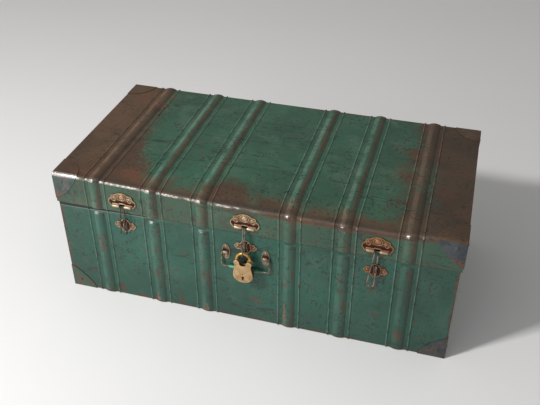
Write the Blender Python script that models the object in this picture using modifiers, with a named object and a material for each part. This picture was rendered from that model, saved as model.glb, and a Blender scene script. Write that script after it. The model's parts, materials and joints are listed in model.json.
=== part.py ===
"""A ribbed sheet-steel travel trunk with hinged lid, three hasps, carrying handles and a padlock.

Units are metres, +Z is up, the front faces -Y.  Each piece is one named object; a moving piece hangs
under an empty that sits on its joint axis.
"""

import math

import bmesh
import bpy
from mathutils import Matrix, Vector

# Overall sizes of the closed trunk
LENGTH = 0.760
DEPTH = 0.384
LID_TOP_Z = 0.274
LID_EDGE_Z = 0.210
RIM_TOP_Z = 0.2215
SHEET = 0.0008
FIT = 0.0003
BODY_SET_IN_FRONT = 0.0015
BODY_SET_IN_END = 0.003
LID_BEND_RADIUS = 0.007
LID_BEND_STEPS = 3
RIM_BEAD_RADIUS = 0.0018
END_FLANGE = 0.010
BOTTOM_FLANGE = 0.010

# Pressed ribs: a half-round bulge between two narrow beads
PATTERN_SHIFT = -0.0035
RIB_SHARES = (0.1079, 0.2368, 0.3842)
RIB_HALF_WIDTH = 0.012
RIB_RISE = 0.0045
RIB_SHOULDER = 0.0075
RIB_CREST = 0.0026
BEAD_OFFSET = 0.020
BEAD_HALF_WIDTH = 0.0019
BEAD_RISE = 0.0011
RIB_DOME_TOP_Z = 0.201
RIB_DOME_LENGTH = 0.010

# Corner caps
CAP_THICKNESS = 0.0008
CAP_LEG = 0.050
CAP_LID_DROP = 0.056
CAP_ARC_STEPS = 6
RIVET_TAPER = 0.55
CAP_ROUND_POWER = 1.0
CAP_HOLLOW_POWER = 2.3
CAP_RIVET_RADIUS = 0.0035
CAP_RIVET_RISE = 0.0012
CAP_RIVET_INSET = 0.017

# Hasps: crown plate on the lid, wire link, butterfly plate and staple on the body
CATCH_SHARE = 0.3132
LINK_WIRE = 0.00125
LINK_PIVOT_Z = 0.2265
LINK_PIVOT_OUT = 0.005
LEFT_LINK_LENGTH = 0.0635
RIGHT_LINK_LENGTH = 0.072
LINK_TOP_HALF = 0.0030
LINK_BOTTOM_HALF = 0.0064
LINK_BEND = 0.0030
LINK_ARM_REACH = 0.0140
PADLOCK_LINK_HALF = 0.0016
PADLOCK_EYE_LENGTH = 0.016
PADLOCK_FLARE = 0.6
PADLOCK_FLARE_SIDE = 0.7
PADLOCK_EYE_TWIST = 0.4
PADLOCK_EYE_CLEARANCE = 0.0007
BORE_CLEARANCE = 0.0003
PLATE = 0.0010
HASP_HALF_WIDTH = 0.0275
HASP_HEIGHT = 0.030
HASP_LOBE_RADIUS = 0.010
HASP_LOBE_Z = 0.0085
HASP_CROWN_RADIUS = 0.0115
HASP_EDGE_DROP = 0.0012
HASP_SHOULDER_X = 0.0195
HASP_SHOULDER_Z = 0.0235
HASP_SHOULDER_STEP = 0.0035
HASP_SHOULDER_TAPER = 0.0010
HASP_WEB_SHARE = 0.55
HASP_BARREL_WALL = 0.0009
HASP_BARREL_START = 0.0060
HASP_BARREL_END = 0.0205
HASP_BOSS_RADIUS = 0.0068
HASP_BOSS_RISE = 0.0024
HASP_SCROLL_RADIUS = 0.0046
HASP_SCROLL_X = 0.0160
HASP_SCROLL_Z = 0.0140
HASP_BOSS_Z = 0.0185
STAPLE_PLATE_Z = 0.180
STAPLE_PLATE_HALF_WIDTH = 0.0215
STAPLE_PLATE_HALF_HEIGHT = 0.0150
STAPLE_WING_HALF = 0.0060
STAPLE_WING_TIP = 0.0015
STAPLE_WING_TIP_SHARE = 0.55
STAPLE_ROUND_RADIUS = 0.0095
STAPLE_WIRE = 0.0014
STAPLE_OUT = 0.0076
STAPLE_HALF_HEIGHT = 0.0095
RIVET_RADIUS = 0.0024
RIVET_RISE = 0.0010

# Carrying handles: two oval eye brackets, a wire bail and a rolled grip
BRACKET_SPAN = 0.038
BRACKET_HALF_WIDTH = 0.0080
BRACKET_HALF_HEIGHT = 0.0175
BRACKET_RIVET_DROP = 0.0115
BAIL_WIRE = 0.0016
BAIL_HALF_WIDTH = 0.0460
BAIL_DROP = 0.0320
BAIL_BEND = 0.0040
BAIL_END_INSIDE = 0.0055
EYE_WALL = 0.0012
EYE_WEB_SHARE = 0.7
EYE_HALF_LENGTH = 0.0036
GRIP_HALF_LENGTH = 0.0330
GRIP_TAPER = 0.0110
GRIP_RADIUS = 0.0038
GRIP_END_RADIUS = 0.0026
FRONT_HANDLE_Z = 0.162
END_HANDLE_Z = 0.150

# Padlock hanging in the middle link
SHACKLE_WIRE = 0.0025
SHACKLE_HALF_WIDTH = 0.0125
SHACKLE_TOP_Z = 0.1785
SHACKLE_EYE_RADIUS = 0.0042
PADLOCK_OUT = 0.015
PADLOCK_THICKNESS = 0.011
PADLOCK_HALF_WIDTH = 0.0190
PADLOCK_EAR_TOP_Z = 0.162
PADLOCK_BOTTOM_Z = 0.111
PADLOCK_PIN_Z = 0.152
PADLOCK_PIN_RADIUS = 0.0014
PADLOCK_EAR_RADIUS = 0.0062
PADLOCK_NOTCH_Z = 0.1525
PADLOCK_NOTCH_DIP = 0.0006
PADLOCK_NOTCH_SHARE = 0.75
PADLOCK_BASE_SHARE = 0.86
PADLOCK_CHEEK_SHARE = 0.97
PADLOCK_CHEEK_LIFT = 0.006
PADLOCK_NECK_SHARE = 0.72
PADLOCK_NECK_LIFT = 0.0145
PADLOCK_SLOT_CLEARANCE = 0.0006
KEYHOLE_Z = 0.1235
KEYHOLE_RADIUS = 0.0021
KEYHOLE_LENGTH = 0.0055
KEYHOLE_DEPTH = 0.003

# Rear hinges
HINGE_SHARE = 0.3105
HINGE_HALF_WIDTH = 0.020
HINGE_LEAF_HEIGHT = 0.024
HINGE_LEAF = 0.0012
HINGE_PIN_RADIUS = 0.0015
HINGE_KNUCKLE_WALL = 0.0014
HINGE_MIDDLE_HALF = 0.0075
HINGE_OUT = 0.0044
HINGE_PIN_HEAD = 0.0008
HINGE_DROP = 0.0015

# Worked out from the sizes above
RIB_CENTRES = [LENGTH * share for share in RIB_SHARES]
CATCH_X = LENGTH * CATCH_SHARE
HINGE_X = LENGTH * HINGE_SHARE
FRONT_Y = -DEPTH / 2
BODY_HALF_DEPTH = DEPTH / 2 - BODY_SET_IN_FRONT
BODY_HALF_LENGTH = LENGTH / 2 - BODY_SET_IN_END
WALL_FOOT_Z = CAP_THICKNESS + FIT
PADLOCK_FRONT_OUT = PADLOCK_OUT + PADLOCK_THICKNESS / 2
HINGE_KNUCKLE = HINGE_PIN_RADIUS + BORE_CLEARANCE + HINGE_KNUCKLE_WALL
HINGE_Y = DEPTH / 2 + HINGE_OUT
HINGE_Z = LID_EDGE_Z - HINGE_DROP
STAND_OFFSET_Y = (PADLOCK_FRONT_OUT - HINGE_OUT - HINGE_KNUCKLE) / 2
STAPLE_FRONT_OUT = STAPLE_OUT - BODY_SET_IN_FRONT + PLATE + 2 * FIT
LINK_LEAN = math.atan2(
    STAPLE_FRONT_OUT + FIT + LINK_WIRE - LINK_PIVOT_OUT,
    LINK_PIVOT_Z - STAPLE_PLATE_Z - STAPLE_HALF_HEIGHT,
)
SHACKLE_BAR_Z = SHACKLE_TOP_Z - SHACKLE_WIRE
PADLOCK_EYE = SHACKLE_WIRE + PADLOCK_EYE_CLEARANCE + LINK_WIRE
PADLOCK_LEAN = math.atan2(PADLOCK_OUT - LINK_PIVOT_OUT, LINK_PIVOT_Z - SHACKLE_BAR_Z)
PADLOCK_LINK_LENGTH = math.hypot(PADLOCK_OUT - LINK_PIVOT_OUT, LINK_PIVOT_Z - SHACKLE_BAR_Z) + PADLOCK_EYE
BRACKET_PIVOT_OUT = FIT + PLATE + BAIL_WIRE + BORE_CLEARANCE + EYE_WALL

for old in list(bpy.data.objects):
    bpy.data.objects.remove(old, do_unlink=True)


def new_collection(name):
    """Makes a collection in the scene."""
    collection = bpy.data.collections.new(name)
    bpy.context.scene.collection.children.link(collection)
    return collection


PARTS = new_collection("travel_trunk")
CUTTERS = new_collection("travel_trunk_cutters")
CUTTERS.hide_render = True


def new_material(name, colour, roughness, metallic):
    """A Principled material with one colour."""
    material = bpy.data.materials.new(name)
    material.use_nodes = True
    shader = material.node_tree.nodes["Principled BSDF"]
    shader.inputs["Base Color"].default_value = (*colour, 1.0)
    shader.inputs["Roughness"].default_value = roughness
    shader.inputs["Metallic"].default_value = metallic
    return material


GREEN_PAINT = new_material("green_paint", (0.055, 0.165, 0.120), 0.45, 0.0)
LID_PAINT = new_material("worn_lid_paint", (0.060, 0.130, 0.095), 0.45, 0.0)
CAP_STEEL = new_material("blued_steel", (0.075, 0.090, 0.095), 0.45, 0.8)
DARK_WIRE = new_material("dark_wire", (0.090, 0.075, 0.065), 0.5, 0.8)
OLD_BRASS = new_material("old_brass", (0.420, 0.260, 0.130), 0.4, 0.8)
PADLOCK_BRASS = new_material("padlock_brass", (0.560, 0.370, 0.170), 0.35, 0.9)
GRIP_PAINT = new_material("grip_paint", (0.130, 0.420, 0.260), 0.4, 0.0)
HINGE_STEEL = new_material("hinge_steel", (0.085, 0.080, 0.075), 0.5, 0.8)


def empty(name, location, parent=None, turn=(0.0, 0.0, 0.0)):
    """An empty that carries pieces, placed in its parent's space."""
    holder = bpy.data.objects.new(name, None)
    PARTS.objects.link(holder)
    holder.parent = parent
    holder.location = location
    holder.rotation_euler = turn
    return holder


def add(name, data, material, parent):
    """Links one finished piece under its parent."""
    piece = bpy.data.objects.new(name, data)
    data.materials.append(material)
    PARTS.objects.link(piece)
    piece.parent = parent
    return piece


def mesh_from(bm, name):
    """Writes a bmesh to a new mesh."""
    mesh = bpy.data.meshes.new(name)
    bm.to_mesh(mesh)
    bm.free()
    return mesh


def tool(name, mesh, parent):
    """A shape that a piece is cut by or joined with."""
    shape = bpy.data.objects.new(name, mesh)
    CUTTERS.objects.link(shape)
    shape.parent = parent
    shape.hide_render = True
    shape.display_type = "WIRE"
    return shape


def combine(piece, shape, operation):
    """Cuts a tool from a piece, or joins it on."""
    modifier = piece.modifiers.new(shape.name, "BOOLEAN")
    modifier.operation = operation
    modifier.solver = "EXACT"
    modifier.object = shape


def smooth(mesh, degrees=40.0):
    """Shades a mesh smooth, sharp past an angle."""
    mesh.shade_smooth()
    mesh.set_sharp_from_angle(angle=math.radians(degrees))


def drum_mesh(name, radius, low, high, axis, segments=12, centre=(0.0, 0.0, 0.0)):
    """A cylinder along X, Y or Z from low to high, its axis through centre."""
    bm = bmesh.new()
    bmesh.ops.create_cone(
        bm, cap_ends=True, segments=segments, radius1=radius, radius2=radius, depth=high - low
    )
    bm.transform(Matrix.Translation((0.0, 0.0, (low + high) / 2)))
    if axis == "X":
        bm.transform(Matrix.Rotation(math.pi / 2, 4, "Y"))
    elif axis == "Y":
        bm.transform(Matrix.Rotation(-math.pi / 2, 4, "X"))
    bm.transform(Matrix.Translation(centre))
    return mesh_from(bm, name)


def box_mesh(name, low, high):
    """A box between two corners."""
    bm = bmesh.new()
    bmesh.ops.create_cube(bm, size=1.0)
    size = Vector(high) - Vector(low)
    bm.transform(Matrix.Translation((Vector(low) + Vector(high)) / 2) @ Matrix.Diagonal((*size, 1.0)))
    return mesh_from(bm, name)


def dome_mesh(name, radius, rise, sink, centre, segments=12, rings=3):
    """A low dome facing -Y, its flatter back reaching a little way into the plate behind it."""
    bm = bmesh.new()
    bmesh.ops.create_uvsphere(bm, u_segments=segments, v_segments=2 * rings, radius=1.0)
    bm.transform(Matrix.Rotation(math.pi / 2, 4, "X"))
    for vertex in bm.verts:
        depth = sink if vertex.co.y > 0.0 else rise
        vertex.co = (vertex.co.x * radius, vertex.co.y * depth, vertex.co.z * radius)
    bm.transform(Matrix.Translation(centre))
    return mesh_from(bm, name)


def arc(centre, radius, start, end, steps):
    """Points on an arc in a plane, both ends included, angles in degrees."""
    points = []
    for step in range(steps + 1):
        angle = math.radians(start + (end - start) * step / steps)
        points.append((centre[0] + radius * math.cos(angle), centre[1] + radius * math.sin(angle)))
    return points


def rounded_path(corners, radius, steps=3):
    """A polyline through corner points with each inner corner rounded."""
    corners = [Vector(corner) for corner in corners]
    points = [corners[0]]
    for before, corner, after in zip(corners, corners[1:], corners[2:]):
        back = (before - corner).normalized()
        ahead = (after - corner).normalized()
        half = back.angle(ahead) / 2
        reach = radius / math.tan(half)
        middle = corner + (back + ahead).normalized() * (radius / math.sin(half))
        first = (corner + back * reach - middle).normalized()
        last = (corner + ahead * reach - middle).normalized()
        for step in range(steps + 1):
            points.append(middle + first.slerp(last, step / steps) * radius)
    points.append(corners[-1])
    return points


def wire(name, points, radius, material, parent, closed=False):
    """A round wire along points."""
    curve = bpy.data.curves.new(name, "CURVE")
    curve.dimensions = "3D"
    curve.bevel_depth = radius
    curve.bevel_resolution = 1
    curve.use_fill_caps = True
    spline = curve.splines.new("POLY")
    spline.points.add(len(points) - 1)
    for target, point in zip(spline.points, points):
        target.co = (*point, 1.0)
    spline.use_cyclic_u = closed
    spline.use_smooth = True
    return add(name, curve, material, parent)


def plate_mesh(name, outline, thickness):
    """A flat plate from an outline in X and Z, its back at y = 0 and its front at -thickness."""
    curve = bpy.data.curves.new(name, "CURVE")
    curve.dimensions = "2D"
    curve.fill_mode = "BOTH"
    curve.extrude = thickness / 2
    spline = curve.splines.new("POLY")
    spline.points.add(len(outline) - 1)
    for target, (x, z) in zip(spline.points, outline):
        target.co = (x, z, 0.0, 1.0)
    spline.use_cyclic_u = True
    holder = bpy.data.objects.new(name, curve)
    CUTTERS.objects.link(holder)
    bpy.context.view_layer.update()
    graph = bpy.context.evaluated_depsgraph_get()
    mesh = bpy.data.meshes.new_from_object(holder.evaluated_get(graph))
    bpy.data.objects.remove(holder, do_unlink=True)
    bm = bmesh.new()
    bm.from_mesh(mesh)
    bmesh.ops.remove_doubles(bm, verts=bm.verts, dist=1e-6)
    bm.transform(Matrix.Rotation(math.pi / 2, 4, "X"))
    bm.transform(Matrix.Translation((0.0, -thickness / 2, 0.0)))
    bmesh.ops.dissolve_limit(bm, angle_limit=1e-3, verts=bm.verts, edges=bm.edges)
    bmesh.ops.recalc_face_normals(bm, faces=bm.faces)
    bm.to_mesh(mesh)
    bm.free()
    return mesh


def mirrored(half):
    """A closed outline from its right half, which runs from the bottom to the top."""
    return half + [(-x, z) for x, z in reversed(half) if x > 1e-9]


def thicken(piece, thickness):
    """Gives an open sheet its wall, inwards from the modelled face."""
    modifier = piece.modifiers.new("wall", "SOLIDIFY")
    modifier.thickness = thickness
    modifier.offset = -1.0
    modifier.use_even_offset = True


# Ribbed sheets


def rib_columns(half_length):
    """The X stations of a ribbed sheet, and each one's bulge and bead height."""
    bead = ((-BEAD_HALF_WIDTH, 0.0), (0.0, BEAD_RISE), (BEAD_HALF_WIDTH, 0.0))
    columns = [(-half_length, 0.0, 0.0)]
    for centre in sorted(PATTERN_SHIFT + side * c for c in RIB_CENTRES for side in (-1, 1)):
        columns += [(centre - BEAD_OFFSET + x, 0.0, rise) for x, rise in bead]
        for x in (-RIB_HALF_WIDTH, -RIB_SHOULDER, -RIB_CREST, RIB_CREST, RIB_SHOULDER, RIB_HALF_WIDTH):
            bulge = RIB_RISE * math.sqrt(max(0.0, 1.0 - (x / RIB_HALF_WIDTH) ** 2))
            columns.append((centre + x, bulge, 0.0))
        columns += [(centre + BEAD_OFFSET + x, 0.0, rise) for x, rise in bead]
    columns.append((half_length, 0.0, 0.0))
    return columns


def ribbed_sheet(name, half_length, rows, material, parent):
    """Presses a flat grid into a ribbed sheet.

    Each row is (y, z, outward y, outward z, share of the bulge, share of the bead).
    """
    columns = rib_columns(half_length)
    bm = bmesh.new()
    bmesh.ops.create_grid(bm, x_segments=len(columns) - 1, y_segments=len(rows) - 1, size=1.0)
    for vertex in bm.verts:
        x, bulge, bead = columns[round((vertex.co.x + 1.0) / 2 * (len(columns) - 1))]
        row = rows[round((vertex.co.y + 1.0) / 2 * (len(rows) - 1))]
        y, z, out_y, out_z, bulge_share, bead_share = row
        rise = bulge * bulge_share + bead * bead_share
        vertex.co = (x, y + out_y * rise, z + out_z * rise)
    mesh = mesh_from(bm, name)
    smooth(mesh)
    piece = add(name, mesh, material, parent)
    thicken(piece, SHEET)
    return piece


def lid_section(inset):
    """The lid's cross-section as (y, z, outward y, outward z), front edge to back edge."""
    half = DEPTH / 2 - inset
    top = LID_TOP_Z - inset
    radius = LID_BEND_RADIUS - inset
    section = [(-half, LID_EDGE_Z, -1.0, 0.0)]
    for side, start, end in ((-1, 180, 90), (1, 90, 0)):
        for y, z in arc((side * (half - radius), top - radius), radius, start, end, LID_BEND_STEPS):
            out = Vector((y - side * (half - radius), z - top + radius)).normalized()
            section.append((y, z, out.x, out.y))
    section.append((half, LID_EDGE_Z, 1.0, 0.0))
    return section


def build_lid_sheet(parent):
    """The lid's front, top and back: one ribbed sheet with two round bends."""
    rows = [(*point, 1.0, 1.0) for point in lid_section(0.0)]
    ribbed_sheet("lid_wrapper", LENGTH / 2, rows, LID_PAINT, parent)


def build_body_walls(parent):
    """The ribbed front and back walls, their ribs ending in domes below the lid."""
    dome = RIB_DOME_TOP_Z - RIB_DOME_LENGTH
    levels = [(WALL_FOOT_Z, 1.0, 1.0), (dome, 1.0, 1.0)]
    for share in (0.55, 0.85, 1.0):
        levels.append((dome + RIB_DOME_LENGTH * share, math.sqrt(1.0 - share**2), 1.0))
    bead_end = LID_EDGE_Z - BEAD_HALF_WIDTH
    levels.append((bead_end, 0.0, 0.0))
    levels.append((RIM_TOP_Z, 0.0, 0.0))
    front = [(-BODY_HALF_DEPTH, z, -1.0, 0.0, bulge, bead) for z, bulge, bead in levels]
    back = [(BODY_HALF_DEPTH, z, 1.0, 0.0, bulge, bead) for z, bulge, bead in reversed(levels)]
    ribbed_sheet("body_front", BODY_HALF_LENGTH, front, GREEN_PAINT, parent)
    ribbed_sheet("body_back", BODY_HALF_LENGTH, back, GREEN_PAINT, parent)


# Flanged flat panels


def pan(name, outline, plain_edges, flange, place, material, parent):
    """A flat panel whose edges are turned over, apart from those listed as plain.

    Args: outline runs round the panel, place maps (a, b, depth) to a point, depth going inwards.
    """
    bm = bmesh.new()
    rim = [bm.verts.new(place(a, b, 0.0)) for a, b in outline]
    deep = [bm.verts.new(place(a, b, flange)) for a, b in outline]
    bm.faces.new(rim)
    for index in range(len(outline)):
        after = (index + 1) % len(outline)
        if index not in plain_edges:
            bm.faces.new((rim[after], rim[index], deep[index], deep[after]))
    loose = [vertex for vertex in deep if not vertex.link_faces]
    bmesh.ops.delete(bm, geom=loose, context="VERTS")
    bm.normal_update()
    inside = Vector(place(*outline[0], flange)) - Vector(place(*outline[0], 0.0))
    bm.faces.ensure_lookup_table()
    if bm.faces[0].normal.dot(inside) > 0.0:
        bmesh.ops.reverse_faces(bm, faces=bm.faces)
    mesh = mesh_from(bm, name)
    piece = add(name, mesh, material, parent)
    thicken(piece, SHEET)
    return piece


def build_body_panels(parent):
    """The two end walls and the bottom, each a pan that nests inside the walls before it."""
    half_depth = BODY_HALF_DEPTH - SHEET - FIT
    low, high = WALL_FOOT_Z, RIM_TOP_Z
    corners = [(-half_depth, low), (half_depth, low), (half_depth, high), (-half_depth, high)]
    for word, side in (("left", -1), ("right", 1)):
        def place(y, z, depth, side=side):
            return (side * (BODY_HALF_LENGTH - depth), y, z)

        pan("body_end_" + word, corners, (0, 2), END_FLANGE, place, GREEN_PAINT, parent)
    x = BODY_HALF_LENGTH - SHEET - FIT
    y = half_depth - SHEET - FIT
    floor = [(-x, -y), (x, -y), (x, y), (-x, y)]

    def place_floor(a, b, depth):
        return (a, b, WALL_FOOT_Z + depth)

    pan("body_bottom", floor, (), BOTTOM_FLANGE, place_floor, GREEN_PAINT, parent)


def build_lid_ends(parent):
    """The two lid ends, pans that nest inside the ribbed lid sheet, flanged above the body's rim."""
    outline = [(y, z) for y, z, _, _ in lid_section(SHEET + FIT)]
    upright_and_open = (0, len(outline) - 2, len(outline) - 1)
    for word, side in (("left", -1), ("right", 1)):
        def place(y, z, depth, side=side):
            return (side * (LENGTH / 2 - depth), y, z)

        pan("lid_end_" + word, outline, upright_and_open, END_FLANGE, place, LID_PAINT, parent)


def build_rim(parent):
    """The rolled bead that finishes the body's mouth."""
    inset = SHEET / 2
    x = BODY_HALF_LENGTH - inset - RIM_BEAD_RADIUS
    y = BODY_HALF_DEPTH - inset - RIM_BEAD_RADIUS
    z = RIM_TOP_Z + RIM_BEAD_RADIUS + FIT
    corner = 3 * RIM_BEAD_RADIUS
    ring = []
    for side_x, side_y, start in ((1, 1, 0), (-1, 1, 90), (-1, -1, 180), (1, -1, 270)):
        centre = (side_x * (x - corner), side_y * (y - corner))
        ring += [(a, b, z) for a, b in arc(centre, corner, start, start + 90, 3)]
    wire("body_rim_bead", ring, RIM_BEAD_RADIUS, GREEN_PAINT, parent, closed=True)


# Corner caps


def leg_outline(reach_a, reach_b, power):
    """The free edge of one cap leg, from reach_a on one corner edge to reach_b on the other."""
    edge = []
    for step in range(CAP_ARC_STEPS + 1):
        angle = math.pi / 2 * step / CAP_ARC_STEPS
        edge.append((reach_a * abs(math.cos(angle)) ** power, reach_b * abs(math.sin(angle)) ** power))
    return edge


def corner_cap(name, corner, inward, reach_z, material, parent):
    """A three-legged cap over a box corner: a rounded flat leg and two hollow-edged upright ones."""
    origin = Vector(corner) - Vector(inward) * FIT
    bm = bmesh.new()
    shared = {}

    def vertex(point, outer):
        key = (outer, *(round(value, 7) for value in point))
        if key not in shared:
            steps = [-CAP_THICKNESS if outer and abs(value) < 1e-9 else value for value in point]
            shared[key] = bm.verts.new(origin + Vector(s * way for s, way in zip(steps, inward)))
        return shared[key]

    flat = [(a, b, 0.0) for a, b in leg_outline(CAP_LEG, CAP_LEG, CAP_ROUND_POWER)]
    front = [(a, 0.0, c) for a, c in leg_outline(CAP_LEG, reach_z, CAP_HOLLOW_POWER)]
    end = [(0.0, b, c) for b, c in leg_outline(CAP_LEG, reach_z, CAP_HOLLOW_POWER)]
    for edge in (flat, front, end):
        loop = [(0.0, 0.0, 0.0)] + edge
        bm.faces.new([vertex(point, False) for point in loop])
        bm.faces.new([vertex(point, True) for point in reversed(loop)])
        for here, after in zip(edge, edge[1:]):
            bm.faces.new(
                (vertex(here, False), vertex(here, True), vertex(after, True), vertex(after, False))
            )
    bmesh.ops.recalc_face_normals(bm, faces=bm.faces)
    piece = add(name, mesh_from(bm, name), material, parent)
    face_y = origin.y - inward[1] * CAP_THICKNESS
    at = (origin.x + inward[0] * CAP_RIVET_INSET, face_y, origin.z + inward[2] * CAP_RIVET_INSET)
    head = rivet_mesh(name, CAP_RIVET_RADIUS, CAP_RIVET_RISE, at, -inward[1])
    combine(piece, tool(name + "_rivet", head, parent), "UNION")


def rivet_mesh(name, radius, rise, at, facing):
    """A low rivet head on a face that looks along Y, sunk half a sheet into it."""
    sink = CAP_THICKNESS / 2
    bm = bmesh.new()
    bmesh.ops.create_cone(
        bm, cap_ends=True, segments=8, radius1=radius, radius2=radius * RIVET_TAPER, depth=rise + sink
    )
    bm.transform(Matrix.Rotation(-facing * math.pi / 2, 4, "X"))
    bm.transform(Matrix.Translation((at[0], at[1] + facing * (rise - sink) / 2, at[2])))
    return mesh_from(bm, name + "_rivet")


def build_caps(body, lid):
    """Four caps on the lid's upper corners and four on the body's lower ones."""
    for depth_word, side_y in (("front", -1), ("back", 1)):
        for word, side_x in (("left", -1), ("right", 1)):
            place = depth_word + "_" + word
            top = (side_x * LENGTH / 2, side_y * DEPTH / 2, LID_TOP_Z)
            corner_cap("lid_cap_" + place, top, (-side_x, -side_y, -1), CAP_LID_DROP, CAP_STEEL, lid)
            foot = (side_x * BODY_HALF_LENGTH, side_y * BODY_HALF_DEPTH, WALL_FOOT_Z)
            corner_cap("body_cap_" + place, foot, (-side_x, -side_y, 1), CAP_LEG, CAP_STEEL, body)


# Hasps


def hasp_outline():
    """The crown outline of an upper hasp plate, from its straight lower edge to its top."""
    lobe = HASP_HALF_WIDTH - HASP_LOBE_RADIUS
    half = [(0.0, -HASP_EDGE_DROP), (HASP_BARREL_END, -HASP_EDGE_DROP)]
    half += arc((lobe, HASP_LOBE_Z), HASP_LOBE_RADIUS, -68, 62, 5)
    half.append((HASP_SHOULDER_X, HASP_SHOULDER_Z - HASP_SHOULDER_STEP))
    half.append((HASP_SHOULDER_X - HASP_SHOULDER_TAPER, HASP_SHOULDER_Z))
    half += arc((0.0, HASP_HEIGHT - HASP_CROWN_RADIUS), HASP_CROWN_RADIUS, 40, 90, 3)
    return mirrored(half)


def build_hasp_plate(name, x, lid):
    """A crown plate with raised bosses and a split barrel for its link."""
    at = empty(name + "_seat", (x, FRONT_Y - FIT, LINK_PIVOT_Z), lid)
    axis_y = FIT - LINK_PIVOT_OUT
    barrel = LINK_WIRE + BORE_CLEARANCE + HASP_BARREL_WALL
    plate = add(name, plate_mesh(name, hasp_outline(), PLATE), OLD_BRASS, at)
    for word, side in (("left", -1), ("right", 1)):
        low, high = sorted((side * HASP_BARREL_START, side * HASP_BARREL_END))
        tube = drum_mesh("barrel", barrel, low, high, "X", 12, (0.0, axis_y, 0.0))
        combine(plate, tool(f"{name}_barrel_{word}", tube, at), "UNION")
        thick = barrel * HASP_WEB_SHARE
        web = box_mesh("web", (low + FIT, axis_y, -thick), (high - FIT, -PLATE / 2, thick))
        combine(plate, tool(f"{name}_web_{word}", web, at), "UNION")
        at_scroll = (side * HASP_SCROLL_X, -PLATE / 2, HASP_SCROLL_Z)
        scroll = dome_mesh("scroll", HASP_SCROLL_RADIUS, HASP_BOSS_RISE, PLATE / 4, at_scroll, 10)
        combine(plate, tool(f"{name}_scroll_{word}", scroll, at), "UNION")
    at_boss = (0.0, -PLATE / 2, HASP_BOSS_Z)
    boss = dome_mesh("boss", HASP_BOSS_RADIUS, HASP_BOSS_RISE, PLATE / 4, at_boss)
    combine(plate, tool(name + "_boss", boss, at), "UNION")
    reach = HASP_BARREL_END + HASP_BARREL_WALL
    bore = drum_mesh("bore", LINK_WIRE + BORE_CLEARANCE, -reach, reach, "X", 12, (0.0, axis_y, 0.0))
    combine(plate, tool(name + "_bore", bore, at), "DIFFERENCE")


def build_link(name, x, length, lid):
    """A hairpin wire link: two arms in the barrel, legs that spread, a square lower end."""
    pivot = empty(name + "_axis", (x, FRONT_Y - LINK_PIVOT_OUT, LINK_PIVOT_Z), lid, (-LINK_LEAN, 0.0, 0.0))
    half = [
        (LINK_ARM_REACH, 0.0, 0.0),
        (LINK_TOP_HALF, 0.0, 0.0),
        (LINK_BOTTOM_HALF, 0.0, -length),
    ]
    corners = half + [(-a, b, c) for a, b, c in reversed(half)]
    wire(name, rounded_path(corners, LINK_BEND), LINK_WIRE, DARK_WIRE, pivot)


def build_padlock_link(lid):
    """The middle link: legs side by side, opened below into an eye that faces sideways."""
    at = (PATTERN_SHIFT, FRONT_Y - LINK_PIVOT_OUT, LINK_PIVOT_Z)
    pivot = empty("centre_link_axis", at, lid, (-PADLOCK_LEAN, 0.0, 0.0))
    eye = PADLOCK_EYE
    floor = -PADLOCK_LINK_LENGTH
    neck = floor + PADLOCK_EYE_LENGTH
    arm = [(LINK_ARM_REACH, 0.0, 0.0), (PADLOCK_LINK_HALF, 0.0, 0.0), (PADLOCK_LINK_HALF, 0.0, neck)]
    leg = rounded_path(arm, LINK_BEND)
    flare = eye * PADLOCK_FLARE
    leg.append(Vector((PADLOCK_LINK_HALF * PADLOCK_FLARE_SIDE, -flare, neck - flare)))
    hoop = []
    for y, z in arc((0.0, floor + eye), eye, 180, 360, 8):
        hoop.append(Vector((-PADLOCK_LINK_HALF * PADLOCK_EYE_TWIST * y / eye, y, z)))
    path = leg + hoop + [Vector((-p.x, -p.y, p.z)) for p in reversed(leg)]
    wire("centre_link", path, LINK_WIRE, DARK_WIRE, pivot)


def staple_outline():
    """The butterfly outline of a lower plate: two pointed wings and a round middle."""
    wing = STAPLE_PLATE_HALF_WIDTH
    centre_z = STAPLE_PLATE_HALF_HEIGHT - STAPLE_ROUND_RADIUS
    lower = [(0.0, -STAPLE_PLATE_HALF_HEIGHT)]
    lower += arc((0.0, -centre_z), STAPLE_ROUND_RADIUS, -60, -15, 2)
    lower.append((wing - STAPLE_WING_HALF, -STAPLE_WING_HALF))
    lower.append((wing - STAPLE_WING_TIP, -STAPLE_WING_HALF * STAPLE_WING_TIP_SHARE))
    upper = [(x, -z) for x, z in reversed(lower)]
    return mirrored(lower + [(wing, 0.0)] + upper)


def build_staple(word, x, body):
    """A riveted butterfly plate with its wire staple."""
    name = word + "_staple_plate"
    at = empty(name + "_seat", (x, -BODY_HALF_DEPTH - FIT, STAPLE_PLATE_Z), body)
    plate = add(name, plate_mesh(name, staple_outline(), PLATE), OLD_BRASS, at)
    for side in (-1, 1):
        centre = (side * (STAPLE_PLATE_HALF_WIDTH - STAPLE_WING_HALF), -PLATE, 0.0)
        head = rivet_mesh(name, RIVET_RADIUS, RIVET_RISE, centre, -1)
        combine(plate, tool(f"{name}_rivet_{side}", head, at), "UNION")
    root = -PLATE - FIT
    crown = root - STAPLE_OUT + STAPLE_WIRE
    corners = [
        (0.0, root, STAPLE_HALF_HEIGHT),
        (0.0, crown, STAPLE_HALF_HEIGHT - STAPLE_WIRE),
        (0.0, crown, STAPLE_WIRE - STAPLE_HALF_HEIGHT),
        (0.0, root, -STAPLE_HALF_HEIGHT),
    ]
    wire(word + "_staple", rounded_path(corners, 2 * STAPLE_WIRE), STAPLE_WIRE, DARK_WIRE, at)


# Handles


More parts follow.
